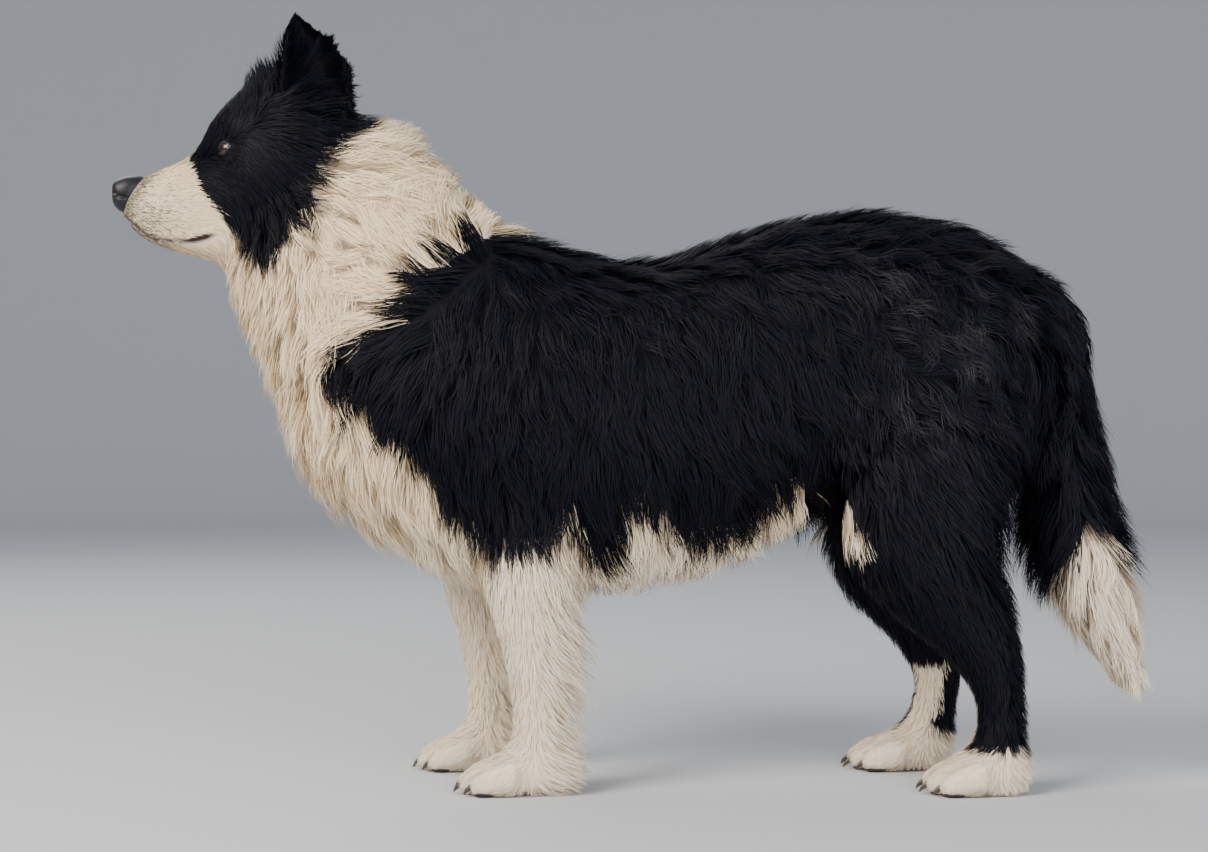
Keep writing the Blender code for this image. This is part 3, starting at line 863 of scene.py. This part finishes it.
def ribbons(name, path, out, width, hues):
    """A piece of one ribbon per path: two points on each ring and one on the tip. Each ribbon is rolled a little,
    and its normals lean to its sides, so that it takes light like a round hair. Hues are numbers of each hair."""
    count, rings = path.shape[:2]
    segments = rings - 1
    t = np.arange(rings) / segments
    profile = np.interp(t, (0, 0.25, 0.6, 0.85, 1), (0.8, 1.0, 0.8, 0.5, 0))
    way = unit(np.gradient(path, axis=1))
    side = unit(np.cross(way, out))
    face = unit(np.cross(side, way))
    roll = rng.uniform(-0.6, 0.6, (count, 1, 1))
    across = side * np.cos(roll) + face * np.sin(roll)
    half = (width[:, None] * profile)[..., None] / 2 * across
    points = np.empty((count, 2 * segments + 1, 3))
    points[:, 0:-1:2] = (path - half)[:, :-1]
    points[:, 1::2] = (path + half)[:, :-1]
    points[:, -1] = path[:, -1]
    facing = unit(np.cross(across, way))
    facing = unit(0.75 * out + 0.6 * facing)
    normals = np.empty_like(points)
    normals[:, 0:-1:2] = unit(facing - 0.3 * across)[:, :-1]
    normals[:, 1::2] = unit(facing + 0.3 * across)[:, :-1]
    normals[:, -1] = facing[:, -1]

    corners = []
    for k in range(segments - 1):
        corners += [(2 * k, 2 * k + 1, 2 * k + 3), (2 * k, 2 * k + 3, 2 * k + 2)]
    corners.append((2 * segments - 2, 2 * segments - 1, 2 * segments))
    corners = np.array(corners)
    index = (np.arange(count)[:, None, None] * points.shape[1] + corners[None]).reshape(-1)
    mesh = bpy.data.meshes.new(name)
    mesh.vertices.add(count * points.shape[1])
    mesh.vertices.foreach_set("co", points.ravel())
    mesh.loops.add(len(index))
    mesh.loops.foreach_set("vertex_index", index.astype(np.int32))
    mesh.polygons.add(len(index) // 3)
    mesh.polygons.foreach_set("loop_start", np.arange(0, len(index), 3, dtype=np.int32))
    mesh.update(calc_edges=True)
    mesh.shade_smooth()
    level = np.repeat(t, 2)[:-1]
    for key, value in hues.items():
        add_numbers(mesh, key, np.repeat(value, points.shape[1]))
    add_numbers(mesh, "along", np.tile(level, count))
    mesh.normals_split_custom_set_from_vertices(normals.reshape(-1, 3).tolist())

    # Each hair is a patch of the map at its root's place: one way along the body, the other way round it.
    root = path[:, 0]
    long = int(np.argmax(np.ptp(root, axis=0)[[0, 2]])) * 2
    short = 2 - long
    middle = np.polyval(np.polyfit(root[:, long], root[:, short], 2), root[:, long])
    angle = np.arctan2(root[:, 1] - root[:, 1].mean() * (long == 2), root[:, short] - middle)
    place = np.stack([root[:, long], angle], 1)
    place = MAP_EDGE + MAP_SPREAD * (place - place.min(0)) / np.ptp(place, axis=0)
    patch = np.stack([np.tile((0, 1), segments + 1)[:-1], level], 1) * HAIR_ON_MAP
    patch[-1, 0] = 0.5 * HAIR_ON_MAP
    uv = place[:, None] + patch[None]
    mesh.uv_layers.new(name="OFBake").data.foreach_set("uv", uv.reshape(-1, 2)[index].ravel().astype(np.float32))

    return placed(name, mesh)


# %% [markdown]
# ## Where the hairs stand
# The skin is divided into fields by the part of the body it was made from. A field says how many layers of hair
# lie over each spot, how many segments a hair has, how many hairs share a guide, and how tightly locks and wisps
# close.

# %% Fields of hair
# layers, segments, hairs to a guide, tightness of the locks and of the wisps
FIELDS = {
    "head": (5.2, 3, 8, 0.15, 0.20),
    "ear": (9.0, 3, 8, 0.20, 0.30),
    "ruff": (10.2, 4, 70, 0.38, 0.12),
    "side": (6.6, 4, 60, 0.50, 0.35),
    "rump": (8.4, 4, 70, 0.55, 0.35),
    "tail": (16.0, 4, 60, 0.45, 0.20),
    "foreleg": (6.0, 3, 16, 0.10, 0.10),
    "hindleg": (4.8, 3, 18, 0.28, 0.25),
    "paw": (4.8, 2, 8, 0.10, 0.10),
}


RUFF_REAR, SIDE_REAR, FORELEG_REAR = -0.19, 0.15, 0.08  # the trunk's fields and the legs part at these x
PAW_TOP = 38 * MM
BARE_LIMIT = 0.3  # no hair grows where the skin is barer than this

skin_tree, points, corners = tree_of(skin.data)
triangles = points[corners]
cross = np.cross(triangles[:, 1] - triangles[:, 0], triangles[:, 2] - triangles[:, 0])
areas = np.linalg.norm(cross, axis=1) / 2
corner_normals = rows_of(skin.data, "normal")[corners]
covered = bareness[corners].max(1) < BARE_LIMIT
whole = shells + ears
labels = kdtree.KDTree(sum(points.size // 3 for points, _ in whole))
names = []
for index, (points, _) in enumerate(whole):
    part = "ear" if index >= len(shells) else {0: "torso", 1: "head", 2: "tail"}.get(index)
    for point in points.reshape(-1, 3).tolist():
        here = part or ("foreleg" if point[0] < FORELEG_REAR else "hindleg")
        if part is None and point[2] < PAW_TOP:
            here = "paw"
        labels.insert(point, len(names))
        names.append(here)
labels.balance()


def field_of(point):
    """The field of the body's part that is nearest."""
    here = names[labels.find(point)[1]]
    if here == "torso":
        here = "ruff" if point[0] < RUFF_REAR else "side" if point[0] < SIDE_REAR else "rump"
    return here


middles = triangles.mean(1)
fields = np.array([field_of(point) for point in middles.tolist()])
for key in FIELDS:
    print(key, "skin area in square metres:", round(float(areas[fields == key].sum()), 3))


LOCK_HUE = 0.6  # how much a hair takes the colour of its lock's root instead of its own


def gloss_and_painted_sheen_at(points):
    """Gloss and painted sheen, most on the rump: exp(-(distance from there on the side view / reach) squared)."""
    x, _, z = ((points / MM - GLOSS_AND_PAINTED_SHEEN[:3]) / GLOSS_AND_PAINTED_SHEEN[3]).T
    return np.exp(-(x**2) - z**2)


def creaminess(points):
    """The ruff and the belly are creamier than the legs: 0 below the first of two heights, 1 above the second."""
    return np.clip((points[:, 2] / MM - CREAM_HEIGHTS[0]) / (CREAM_HEIGHTS[1] - CREAM_HEIGHTS[0]), 0, 1)


def coat_piece(name, chosen, settings):
    """Grow the coat of the chosen triangles of skin as one piece."""
    layers, segments, per_guide, tight, wispy = settings
    chart = chart_at(middles[chosen])
    hairs = areas[chosen] / MM**2 * layers / (chart[:, LENGTH] * chart[:, WIDTH]) * covered[chosen]
    count = np.floor(hairs + rng.random(len(hairs))).astype(int)
    own = np.repeat(np.flatnonzero(chosen), count)
    a, b = rng.random((2, len(own)))
    flip = a + b > 1
    a, b = np.where(flip, 1 - a, a), np.where(flip, 1 - b, b)
    weights = np.stack([1 - a - b, a, b], 1)[..., None]
    roots = (triangles[own] * weights).sum(1)
    normals = unit((corner_normals[own] * weights).sum(1))
    chart = chart_at(roots)
    guides = rng.permutation(len(roots))[: max(40, len(roots) // per_guide)]
    fullness = rng.uniform(0.78, 0.98, len(guides))
    paths, outs = grow_guides(skin_tree, roots[guides], normals[guides], chart[guides], fullness)
    path, out, lock = grow_hairs(roots, chart, roots[guides], paths, outs, segments, tight, wispy)
    # Most of a lock is one colour, so the markings have ragged edges of whole locks.
    home = roots + LOCK_HUE * (roots[guides][lock] - roots)
    hues = {
        "white": whiteness(home, normals, 3.0),
        "tone": rng.random(len(roots)),
        # Gloss lowers a hair's roughness and also sets how much painted sheen its tip gets.
        "gloss_and_painted_sheen": gloss_and_painted_sheen_at(roots) * rng.uniform(0, 1, len(guides))[lock],
        "cream": creaminess(roots),
    }
    width = chart[:, WIDTH] * MM * rng.uniform(0.75, 1.25, len(roots))
    piece = ribbons(name, path, out, width, hues)
    print(name, "hairs:", len(roots), "triangles:", len(piece.data.polygons))
    return piece


coat = {}
for key, settings in FIELDS.items():
    for side, sign in (("left", -1), ("right", 1)):
        chosen = (fields == key) & (middles[:, 1] * sign > 0)
        name = f"coat_{key}_{side}"
        coat[name] = coat_piece(name, chosen, settings)

# %% [markdown]
# ## Writing shaders as sums
# A node tree built by hand takes a line for every node and link. A small class that wraps a socket and knows plus,
# minus and times lets the shader's maths be written as it is on paper, and one method makes every other node.


# %% Shader helpers
class Wire:
    """A number inside a shader, which can be added, subtracted, multiplied and raised to a power."""

    def __init__(self, look, socket):
        self.look, self.socket = look, socket

    def maths(self, operation, first, second):
        return self.look.node("ShaderNodeMath", {"operation": operation}, {0: first, 1: second})

    def __add__(self, other):
        return self.maths("ADD", self, other)

    def __radd__(self, other):
        return self.maths("ADD", other, self)

    def __sub__(self, other):
        return self.maths("SUBTRACT", self, other)

    def __rsub__(self, other):
        return self.maths("SUBTRACT", other, self)

    def __mul__(self, other):
        return self.maths("MULTIPLY", self, other)

    def __rmul__(self, other):
        return self.maths("MULTIPLY", other, self)

    def __pow__(self, other):
        return self.maths("POWER", self, other)

    def clamped(self):
        """The number, kept between 0 and 1."""
        return self.look.node("ShaderNodeClamp", sockets={"Value": self})


class Look:
    """A material with a Principled shader, and the one method that adds nodes to it."""

    def __init__(self, name, **constants):
        self.material = bpy.data.materials.new(name)
        self.material.use_nodes = True
        self.tree = self.material.node_tree
        self.shader = self.tree.nodes["Principled BSDF"]
        self.set(**constants)

    def node(self, kind, settings=None, sockets=None, output=0):
        """A node of a kind; first its settings are set, then its sockets get values or links."""
        made = self.tree.nodes.new(kind)
        for key, value in (settings or {}).items():
            if key == "stops":
                ramp = made.color_ramp.elements
                for index, (place, colour) in enumerate(value):
                    stop = ramp[index] if index < 2 else ramp.new(place)
                    stop.position, stop.color = place, colour
            else:
                setattr(made, key, value)
        for key, value in (sockets or {}).items():
            self.plug(made.inputs[key], value)
        return Wire(self, made.outputs[output])

    def plug(self, socket, value):
        """Link a number to a socket, or set the socket's own value."""
        if isinstance(value, Wire):
            self.tree.links.new(value.socket, socket)
        else:
            socket.default_value = value

    def set(self, **values):
        """Values or links for the shader's own sockets, with an underscore for each space in a name."""
        for key, value in values.items():
            self.plug(self.shader.inputs[key.replace("_", " ")], value)

    def attribute(self, name):
        """A number that is kept at each point of the mesh."""
        return self.node("ShaderNodeAttribute", {"attribute_name": name}, output=2)

    def mix(self, factor, first, second):
        """The colour first * (1 - factor) + second * factor."""
        sockets = {0: factor, 6: first, 7: second}
        return self.node("ShaderNodeMix", {"data_type": "RGBA", "clamp_factor": True}, sockets, output=2)

    def texture(self, kind, **values):
        """A pattern over the object's own space."""
        place = self.node("ShaderNodeTexCoord", output=3)
        return self.node(f"ShaderNodeTex{kind}", sockets={"Vector": place, **values})

    def bump(self, height, strength, distance):
        """Make the surface rough to light, by a height."""
        sockets = {"Height": height, "Strength": strength, "Distance": distance}
        self.set(Normal=self.node("ShaderNodeBump", sockets=sockets))


# %% [markdown]
# ## Colours of the coat
# Black hair is never quite black: it is bluish, browner at old tips, and where it is glossy its tips get a painted
# sheen. White hair is yellower near its root. Both come from one material that reads five numbers from each hair:
# whether it is white, its own tone, how far along it the point is, how glossy it is (and so how much painted sheen),
# and how creamy it is. The skin reads the same whiteness.

# %% Coat and skin materials
BLACK_ROOT = (0.0018, 0.0022, 0.0046, 1)
BLACK_TIP = (0.0034, 0.0040, 0.0090, 1)
BROWN_TIP = (0.020, 0.014, 0.011, 1)
# The colour of the painted sheen on glossy black tips.
PAINTED_SHEEN_TIP = (0.105, 0.098, 0.104, 1)
WHITE_ROOT = (0.89, 0.75, 0.58, 1)
WHITE_MIDDLE = (0.94, 0.81, 0.63, 1)
WHITE_TIP = (0.96, 0.87, 0.72, 1)
WHITE_DULL = (0.88, 0.70, 0.49, 1)
CREAM = (0.90, 0.728, 0.48, 1)
BLACK_SKIN, WHITE_SKIN = (0.003, 0.003, 0.005, 1), (0.86, 0.75, 0.62, 1)
BARE_SKIN, LIP_SKIN = (0.012, 0.009, 0.010, 1), (0.066, 0.036, 0.031, 1)

coat_look = Look("coat", Specular_IOR_Level=0.10)
white, tone, along, gloss_and_painted_sheen, cream = map(coat_look.attribute, ("white", "tone", "along", "gloss_and_painted_sheen", "cream"))
black = coat_look.mix(along, BLACK_ROOT, BLACK_TIP)
# The painted sheen comes in patches of a few centimetres, between which the noise is stretched to nothing.
painted_sheen_patches = coat_look.texture("Noise", Scale=22.0, Detail=2.0) * 5.0 - 2.1
# Painted sheen: the tips of glossy black hair are painted paler.
black = coat_look.mix(gloss_and_painted_sheen * along * painted_sheen_patches.clamped() * tone**2 * 1.5, black, PAINTED_SHEEN_TIP)
black = coat_look.mix(tone**7 * along**2, black, BROWN_TIP)
pale = coat_look.mix(along * 2, WHITE_ROOT, WHITE_MIDDLE)
pale = coat_look.mix(along**2, pale, WHITE_TIP)
pale = coat_look.mix(tone**2 * 0.6, pale, WHITE_DULL)
pale = coat_look.mix(cream * 0.85, pale, CREAM)
coat_look.set(Base_Color=coat_look.mix(white, black, pale), Roughness=0.50 + white * 0.12 - gloss_and_painted_sheen * 0.16)

skin_look = Look("skin", Specular_IOR_Level=0.1, Roughness=0.7)
white = skin_look.attribute("white")
bare = skin_look.attribute("bare")
cover = skin_look.mix(white, BLACK_SKIN, WHITE_SKIN)
dark = skin_look.mix(skin_look.attribute("lip"), BARE_SKIN, LIP_SKIN)
skin_look.set(Base_Color=skin_look.mix(bare, cover, dark))
skin_look.bump(skin_look.texture("Noise", Scale=900.0, Detail=3.0), 0.4, 1.0 * MM)


skin_whiteness = whiteness(rows_of(skin.data, "co"), rows_of(skin.data, "normal"), 0.0)
add_numbers(skin.data, "white", skin_whiteness)
add_numbers(skin.data, "bare", bareness)
add_numbers(skin.data, "lip", lips)
skin.data.materials.append(skin_look.material)
for piece in coat.values():
    piece.data.materials.append(coat_look.material)

# %% [markdown]
# ## Eyes
# A dog's eye is a ball whose clear front bulges a little, with a brown ring round the pupil. The colours follow one
# number kept at each point: its angle from the gaze. A ball with a picture of an eye would need an image.

# %% Eyes
CORNEA_BULGE = 0.7
IRIS_ANGLE, PUPIL_ANGLE = 42.0, 15.0
PUPIL = (0.002, 0.002, 0.002, 1)


def eyeball(name, sign, rings=48, sides=64):
    """A ball of radius R + bulge * max(0, 1 - (angle / 40) ** 2) as a function of the angle from the gaze."""
    middle, gaze, along, up = eye_axes(sign, GAZE)
    angle = np.linspace(0.4, 179.6, rings)
    turn = np.arange(sides) * 2 * np.pi / sides
    radius = EYE_RADIUS + CORNEA_BULGE * np.clip(1 - (angle / 40) ** 2, 0, 1)
    a = np.radians(angle)[:, None, None]
    around = np.cos(turn)[None, :, None] * along + np.sin(turn)[None, :, None] * up
    points = middle + radius[:, None, None] * (np.cos(a) * gaze + np.sin(a) * around)
    faces = tube_faces(rings, sides)
    made = new_piece(name, points.reshape(-1, 3) * MM, faces if sign < 0 else [face[::-1] for face in faces])
    add_numbers(made.data, "angle", np.repeat(angle, sides))
    return made


eye_look = Look("eye", Roughness=0.12, Coat_Weight=0.45, Coat_Roughness=0.02, Specular_IOR_Level=0.2)
angle = eye_look.attribute("angle")
stops = [
    (0.0, PUPIL),
    (PUPIL_ANGLE / 90, PUPIL),
    ((PUPIL_ANGLE + 1.5) / 90, (0.022, 0.009, 0.004, 1)),
    (0.34, (0.040, 0.016, 0.007, 1)),
    (IRIS_ANGLE / 90, (0.018, 0.007, 0.004, 1)),
    ((IRIS_ANGLE + 3) / 90, (0.005, 0.0035, 0.003, 1)),
    (0.60, (0.035, 0.022, 0.017, 1)),
]
eye_look.set(Base_Color=eye_look.node("ShaderNodeValToRGB", {"stops": stops}, {0: angle * (1 / 90)}))
eyes = {"eye_left": eyeball("ball_left", -1), "eye_right": eyeball("ball_right", 1)}

# %% [markdown]
# The dark rim of the lids is a thin tube that runs round the opening, just over the ball.

# %% Rims of the lids
rim_look = Look("lid_rim", Base_Color=(0.006, 0.005, 0.005, 1), Roughness=0.35, Coat_Weight=0.3)


def round_rings(path, side, up, radius, sides):
    """Circles round the points of a path: point(k, j) = path(k) + radius * (cos(j) * side + sin(j) * up)."""
    phase = np.arange(sides) * 2 * np.pi / sides
    return path[:, None] + radius * (np.cos(phase)[None, :, None] * side + np.sin(phase)[None, :, None] * up)


def lid_rim(sign, count=72, sides=10, thickness=0.75):
    """A closed tube along the almond where the opening's number is 1, at R + 0.8 from the ball's middle."""
    middle, gaze, along, up = eye_axes(sign)
    turn = np.arange(count) * 2 * np.pi / count
    a = np.cos(turn)
    b = np.sin(turn) * (1 - 0.35 * a**2)
    a, b = np.radians(a * EYE_OPENING[0]), np.radians(b * EYE_OPENING[1])
    way = unit(gaze + np.tan(a)[:, None] * along + np.tan(b)[:, None] * up)
    path = middle + (EYE_RADIUS + 0.8) * way
    forward = unit(np.roll(path, -1, 0) - np.roll(path, 1, 0))
    side = unit(np.cross(forward, way))
    points = round_rings(path, side[:, None], way[:, None], thickness, sides)
    k, j = np.meshgrid(np.arange(count), np.arange(sides), indexing="ij")
    after, beside = (k + 1) % count, (j + 1) % sides
    faces = np.stack([k * sides + j, k * sides + beside, after * sides + beside, after * sides + j], -1)
    return points.reshape(-1, 3) * MM, faces.reshape(-1, 4).tolist()


def joined(name, parts, look):
    """One piece from several pairs of points and faces, with its look."""
    made = new_piece(name, *stacked(parts))
    made.data.materials.append(look.material)
    return made


rims = joined("lid_rims", [lid_rim(sign) for sign in (-1, 1)], rim_look)
for piece in eyes.values():
    piece.data.materials.append(eye_look.material)

# %% [markdown]
# ## Nose
# The nose leather is a rounded block with two comma-shaped nostrils and a furrow between them. It is a loft like
# the body's parts, pushed in where the nostrils and the furrow are, and the nostrils are painted darker as painted
# shade.

# %% Nose
# Rings from the front back, as in the body's tables.
NOSE = (
    (-516.5, 590, -516.5, 580, 6),
    (-515.8, 594.5, -515, 574, 12),
    (-513, 599, -511, 569, 16.5),
    (-507, 602, -505, 566.5, 18.5),
    (-499, 603.5, -498, 568, 18.5),
    (-489, 603.0, -492, 572.5, 16.0),
    (-482, 599.5, -487, 576, 12.5),
)
NOSTRIL = (-513.5, 12, 586)
NOSTRIL_TAIL = ((-512, 16, 582.5), (-502, 19, 580.5))  # the comma's tail, from the nostril round to the side


def nose_leather(sides=128, steps=18):
    """The nose's loft, pushed towards its middle by bells of the distance to the nostril, its tail and the furrow,
    and how much painted shade darkens each point.
    """
    points = ring_loft(NOSE, sides, steps, 2.4)
    faces = tube_faces(*points.shape[:2])
    points = points.reshape(-1, 3) / MM
    mirrored = np.stack([points[:, 0], np.abs(points[:, 1]), points[:, 2]], 1)
    away = np.linalg.norm((mirrored - NOSTRIL) * (1, 1, 0.85), axis=1)
    hole = np.exp(-((away / 4.6) ** 3))
    start, end = map(np.array, NOSTRIL_TAIL)
    part = np.clip((mirrored - start) @ (end - start) / ((end - start) @ (end - start)), 0, 1)
    slit = np.exp(-((np.linalg.norm(mirrored - start - part[:, None] * (end - start), axis=1) / 2.0) ** 2))
    furrow = np.exp(-((points[:, 1] / 1.1) ** 2)) * np.clip((592 - points[:, 2]) / 6, 0, 1) * (points[:, 0] < -503)
    rim = np.exp(-(((away - 5.8) / 1.8) ** 2)) * (points[:, 2] > 581)
    push = -6.5 * hole - 3.0 * slit * (1 - hole) - 1.3 * furrow + 0.5 * rim
    inward = unit(points - np.array((-497, 0, 584)))
    # Painted shade: the nostrils and their tails are painted darker than the leather.
    dark = np.clip(1.5 * hole + slit * 0.8, 0, 1)
    return (points + push[:, None] * inward) * MM, faces, dark


nose_look = Look("nose_leather", Roughness=0.42, Specular_IOR_Level=0.3)
# The leather is painted darker in the nostrils as painted shade.
painted_nostril_shade = nose_look.attribute("painted_nostril_shade")
nose_look.set(Base_Color=nose_look.mix(painted_nostril_shade, (0.010, 0.009, 0.012, 1), (0.001, 0.001, 0.001, 1)))
nose_look.bump(nose_look.texture("Voronoi", Scale=900.0), 0.22, 0.4 * MM)
points, faces, dark = nose_leather()
nose = new_piece("nose_tip", points, faces)
add_numbers(nose.data, "painted_nostril_shade", dark)
nose.data.materials.append(nose_look.material)

# %% [markdown]
# ## Claws and pads
# The claws curve down from the toes' ends, and the pads are what really touches the ground. Both are small lofts
# that are repeated for every toe.

# %% Claws and pads
horn_look = Look("horn", Base_Color=(0.055, 0.045, 0.040, 1), Roughness=0.35)
pad_look = Look("pads", Base_Color=(0.016, 0.013, 0.013, 1), Roughness=0.75)
# Rings from the toe's tip, and for the large pad from 42 mm behind the foremost toes.
CLAW = ((8, 15, 8, 8, 2.6), (1, 12.5, 2, 6.5, 2.1), (-4, 8, -2.5, 4.2, 1.3), (-6, 3, -5, 2, 0.4))
TOE_PAD = ((4, 3, 5, 1.6, 3), (8, 6, 8, 0.4, 7), (19, 7, 19, 0.2, 7.5), (28, 5, 27, 2, 3))
LARGE_PAD = ((0, 4, 2, 2, 8), (6, 7, 6, 0.4, 17), (22, 8, 22, 0.2, 20), (34, 5, 32, 2, 9))
LARGE_PAD_BACK = 42
claws, pads = [], []
for tip, strides in ((FORE_TOE_TIP, FORE_STRIDE), (HIND_TOE_TIP, HIND_STRIDE)):
    for sign, stride in ((-1, NO_STRIDE), (1, strides)):
        for x, y in toe_tips(tip, sign, stride):
            claws.append(shell(rings_at(CLAW, x, y), sides=14))
            pads.append(shell(rings_at(TOE_PAD, x, y), sides=20))
        x, y = tip[0] + LARGE_PAD_BACK - stride[0], sign * tip[1]
        pads.append(shell(rings_at(LARGE_PAD, x, y), sides=28))
claws = joined("claws", claws, horn_look)
pads = joined("pads", pads, pad_look)

# %% [markdown]
# ## Whiskers
# A few stiff hairs stand out from the whisker pads. They are thin tapered tubes, each bent along a parabola.

# %% Whiskers
WHISKER_ROWS = ((-492, 19, 580), (-490, 21, 573), (-487, 21, 566), (-478, 25, 578), (-476, 27, 570), (-474, 26, 563))


def whisker(root, way, length, thickness=0.28, rings=9, sides=5):
    """point(t) = root + way * length * t + down * 0.25 * length * t ** 2, with a radius of thickness * (1 - t)."""
    t = np.linspace(0, 1, rings)[:, None]
    path = np.array(root) + np.array(way) * length * t + np.array((0.12, 0, -0.25)) * length * t**2
    side = unit(np.cross(way, (0.0, 0.1, 1.0)))
    up = unit(np.cross(side, way))
    return round_rings(path, side, up, thickness * (1.02 - t)[..., None], sides) * MM, tube_faces(rings, sides)


whisker_look = Look("whiskers", Base_Color=(0.50, 0.47, 0.43, 1), Roughness=0.4)
parts = []
for sign in (-1, 1):
    for x, y, z in WHISKER_ROWS:
        way = unit(np.array((rng.uniform(-0.1, 0.5), sign, rng.uniform(-0.25, 0.1))))
        parts.append(whisker((x, sign * (y - 2), z), way, rng.uniform(24, 38)))
whiskers = joined("whiskers", parts, whisker_look)

# %% [markdown]
# ## The stage
# A museum shows a model on a plain floor that runs up into the wall, so that there is no line behind it. A bent
# sheet would end at its sides when the model is seen from another one, so the floor is a wide bowl.

# %% Stage
FLOOR_REACH, BOWL_BEND, WALL_TOP = 6.0, 3.0, 3.0


def bowl(rings=48, sides=96):
    """A bowl: a flat disc, then a quarter circle of the bend's radius, then a wall that stands upright."""
    turn = np.linspace(0, np.pi / 2, rings)
    radius = np.concatenate([[0.001, FLOOR_REACH], FLOOR_REACH + BOWL_BEND * np.sin(turn[1:])])
    height = np.concatenate([[0.0, 0.0], BOWL_BEND * (1 - np.cos(turn[1:]))])
    radius, height = np.append(radius, radius[-1]), np.append(height, height[-1] + WALL_TOP)
    radius, height = radius[:, None], height[:, None]
    angle = np.arange(sides) * 2 * np.pi / sides
    return np.stack([radius * np.cos(angle), radius * np.sin(angle), height + 0 * angle], -1)


points = bowl()
stage = new_piece("stage", points.reshape(-1, 3), [face[::-1] for face in tube_faces(*points.shape[:2], False)])
stage_look = Look("stage", Base_Color=(0.57, 0.585, 0.605, 1), Roughness=0.9, Specular_IOR_Level=0.1)
stage.data.materials.append(stage_look.material)

# %% [markdown]
# ## Lights
# Three large soft lamps light the dog as in a gallery: one warm lamp from the front left, a weaker one that fills the
# near side's shade, and one from behind that draws the back's edge. A small hard lamp would show each ribbon.

# %% Lights
DOG_MIDDLE = (0, 0, 0.4)


def lamp(name, place, size, watts, colour=(1, 1, 1)):
    """A square lamp that faces the dog's middle and isn't seen itself."""
    light = placed(name, bpy.data.lights.new(name, "AREA"))
    light.data.size, light.data.energy, light.data.color = size, watts, colour
    light.location = place
    light.visible_camera = False
    light.rotation_euler = (Vector(DOG_MIDDLE) - Vector(place)).to_track_quat("-Z", "Y").to_euler()


lamp("key", (-2.4, -2.4, 2.6), 2.0, 225, (1.0, 0.94, 0.86))
lamp("fill", (1.4, -3.0, 1.1), 2.0, 95, (0.98, 0.98, 1.0))
lamp("back", (-1.6, 2.2, 2.7), 1.6, 45, (1.0, 0.96, 0.9))
world = bpy.data.worlds.new("studio")
world.use_nodes = True
world.node_tree.nodes["Background"].inputs["Color"].default_value = (0.50, 0.53, 0.58, 1)
bpy.context.scene.world = world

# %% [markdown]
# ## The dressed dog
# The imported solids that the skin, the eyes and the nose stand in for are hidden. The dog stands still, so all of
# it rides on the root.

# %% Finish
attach(skin, "root")
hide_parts(*FLESH)
for node, piece in {**eyes, "nose": nose}.items():
    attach(piece, "root")
    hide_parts(node)
for piece in (rims, claws, pads):
    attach(piece, "root")
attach(whiskers, "root")
for name, piece in coat.items():
    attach(piece, "root")
    dark = ("side", "rump", "tail", "hindleg", "head")
    "black_coat" if any(word in name for word in dark) else "white_coat"
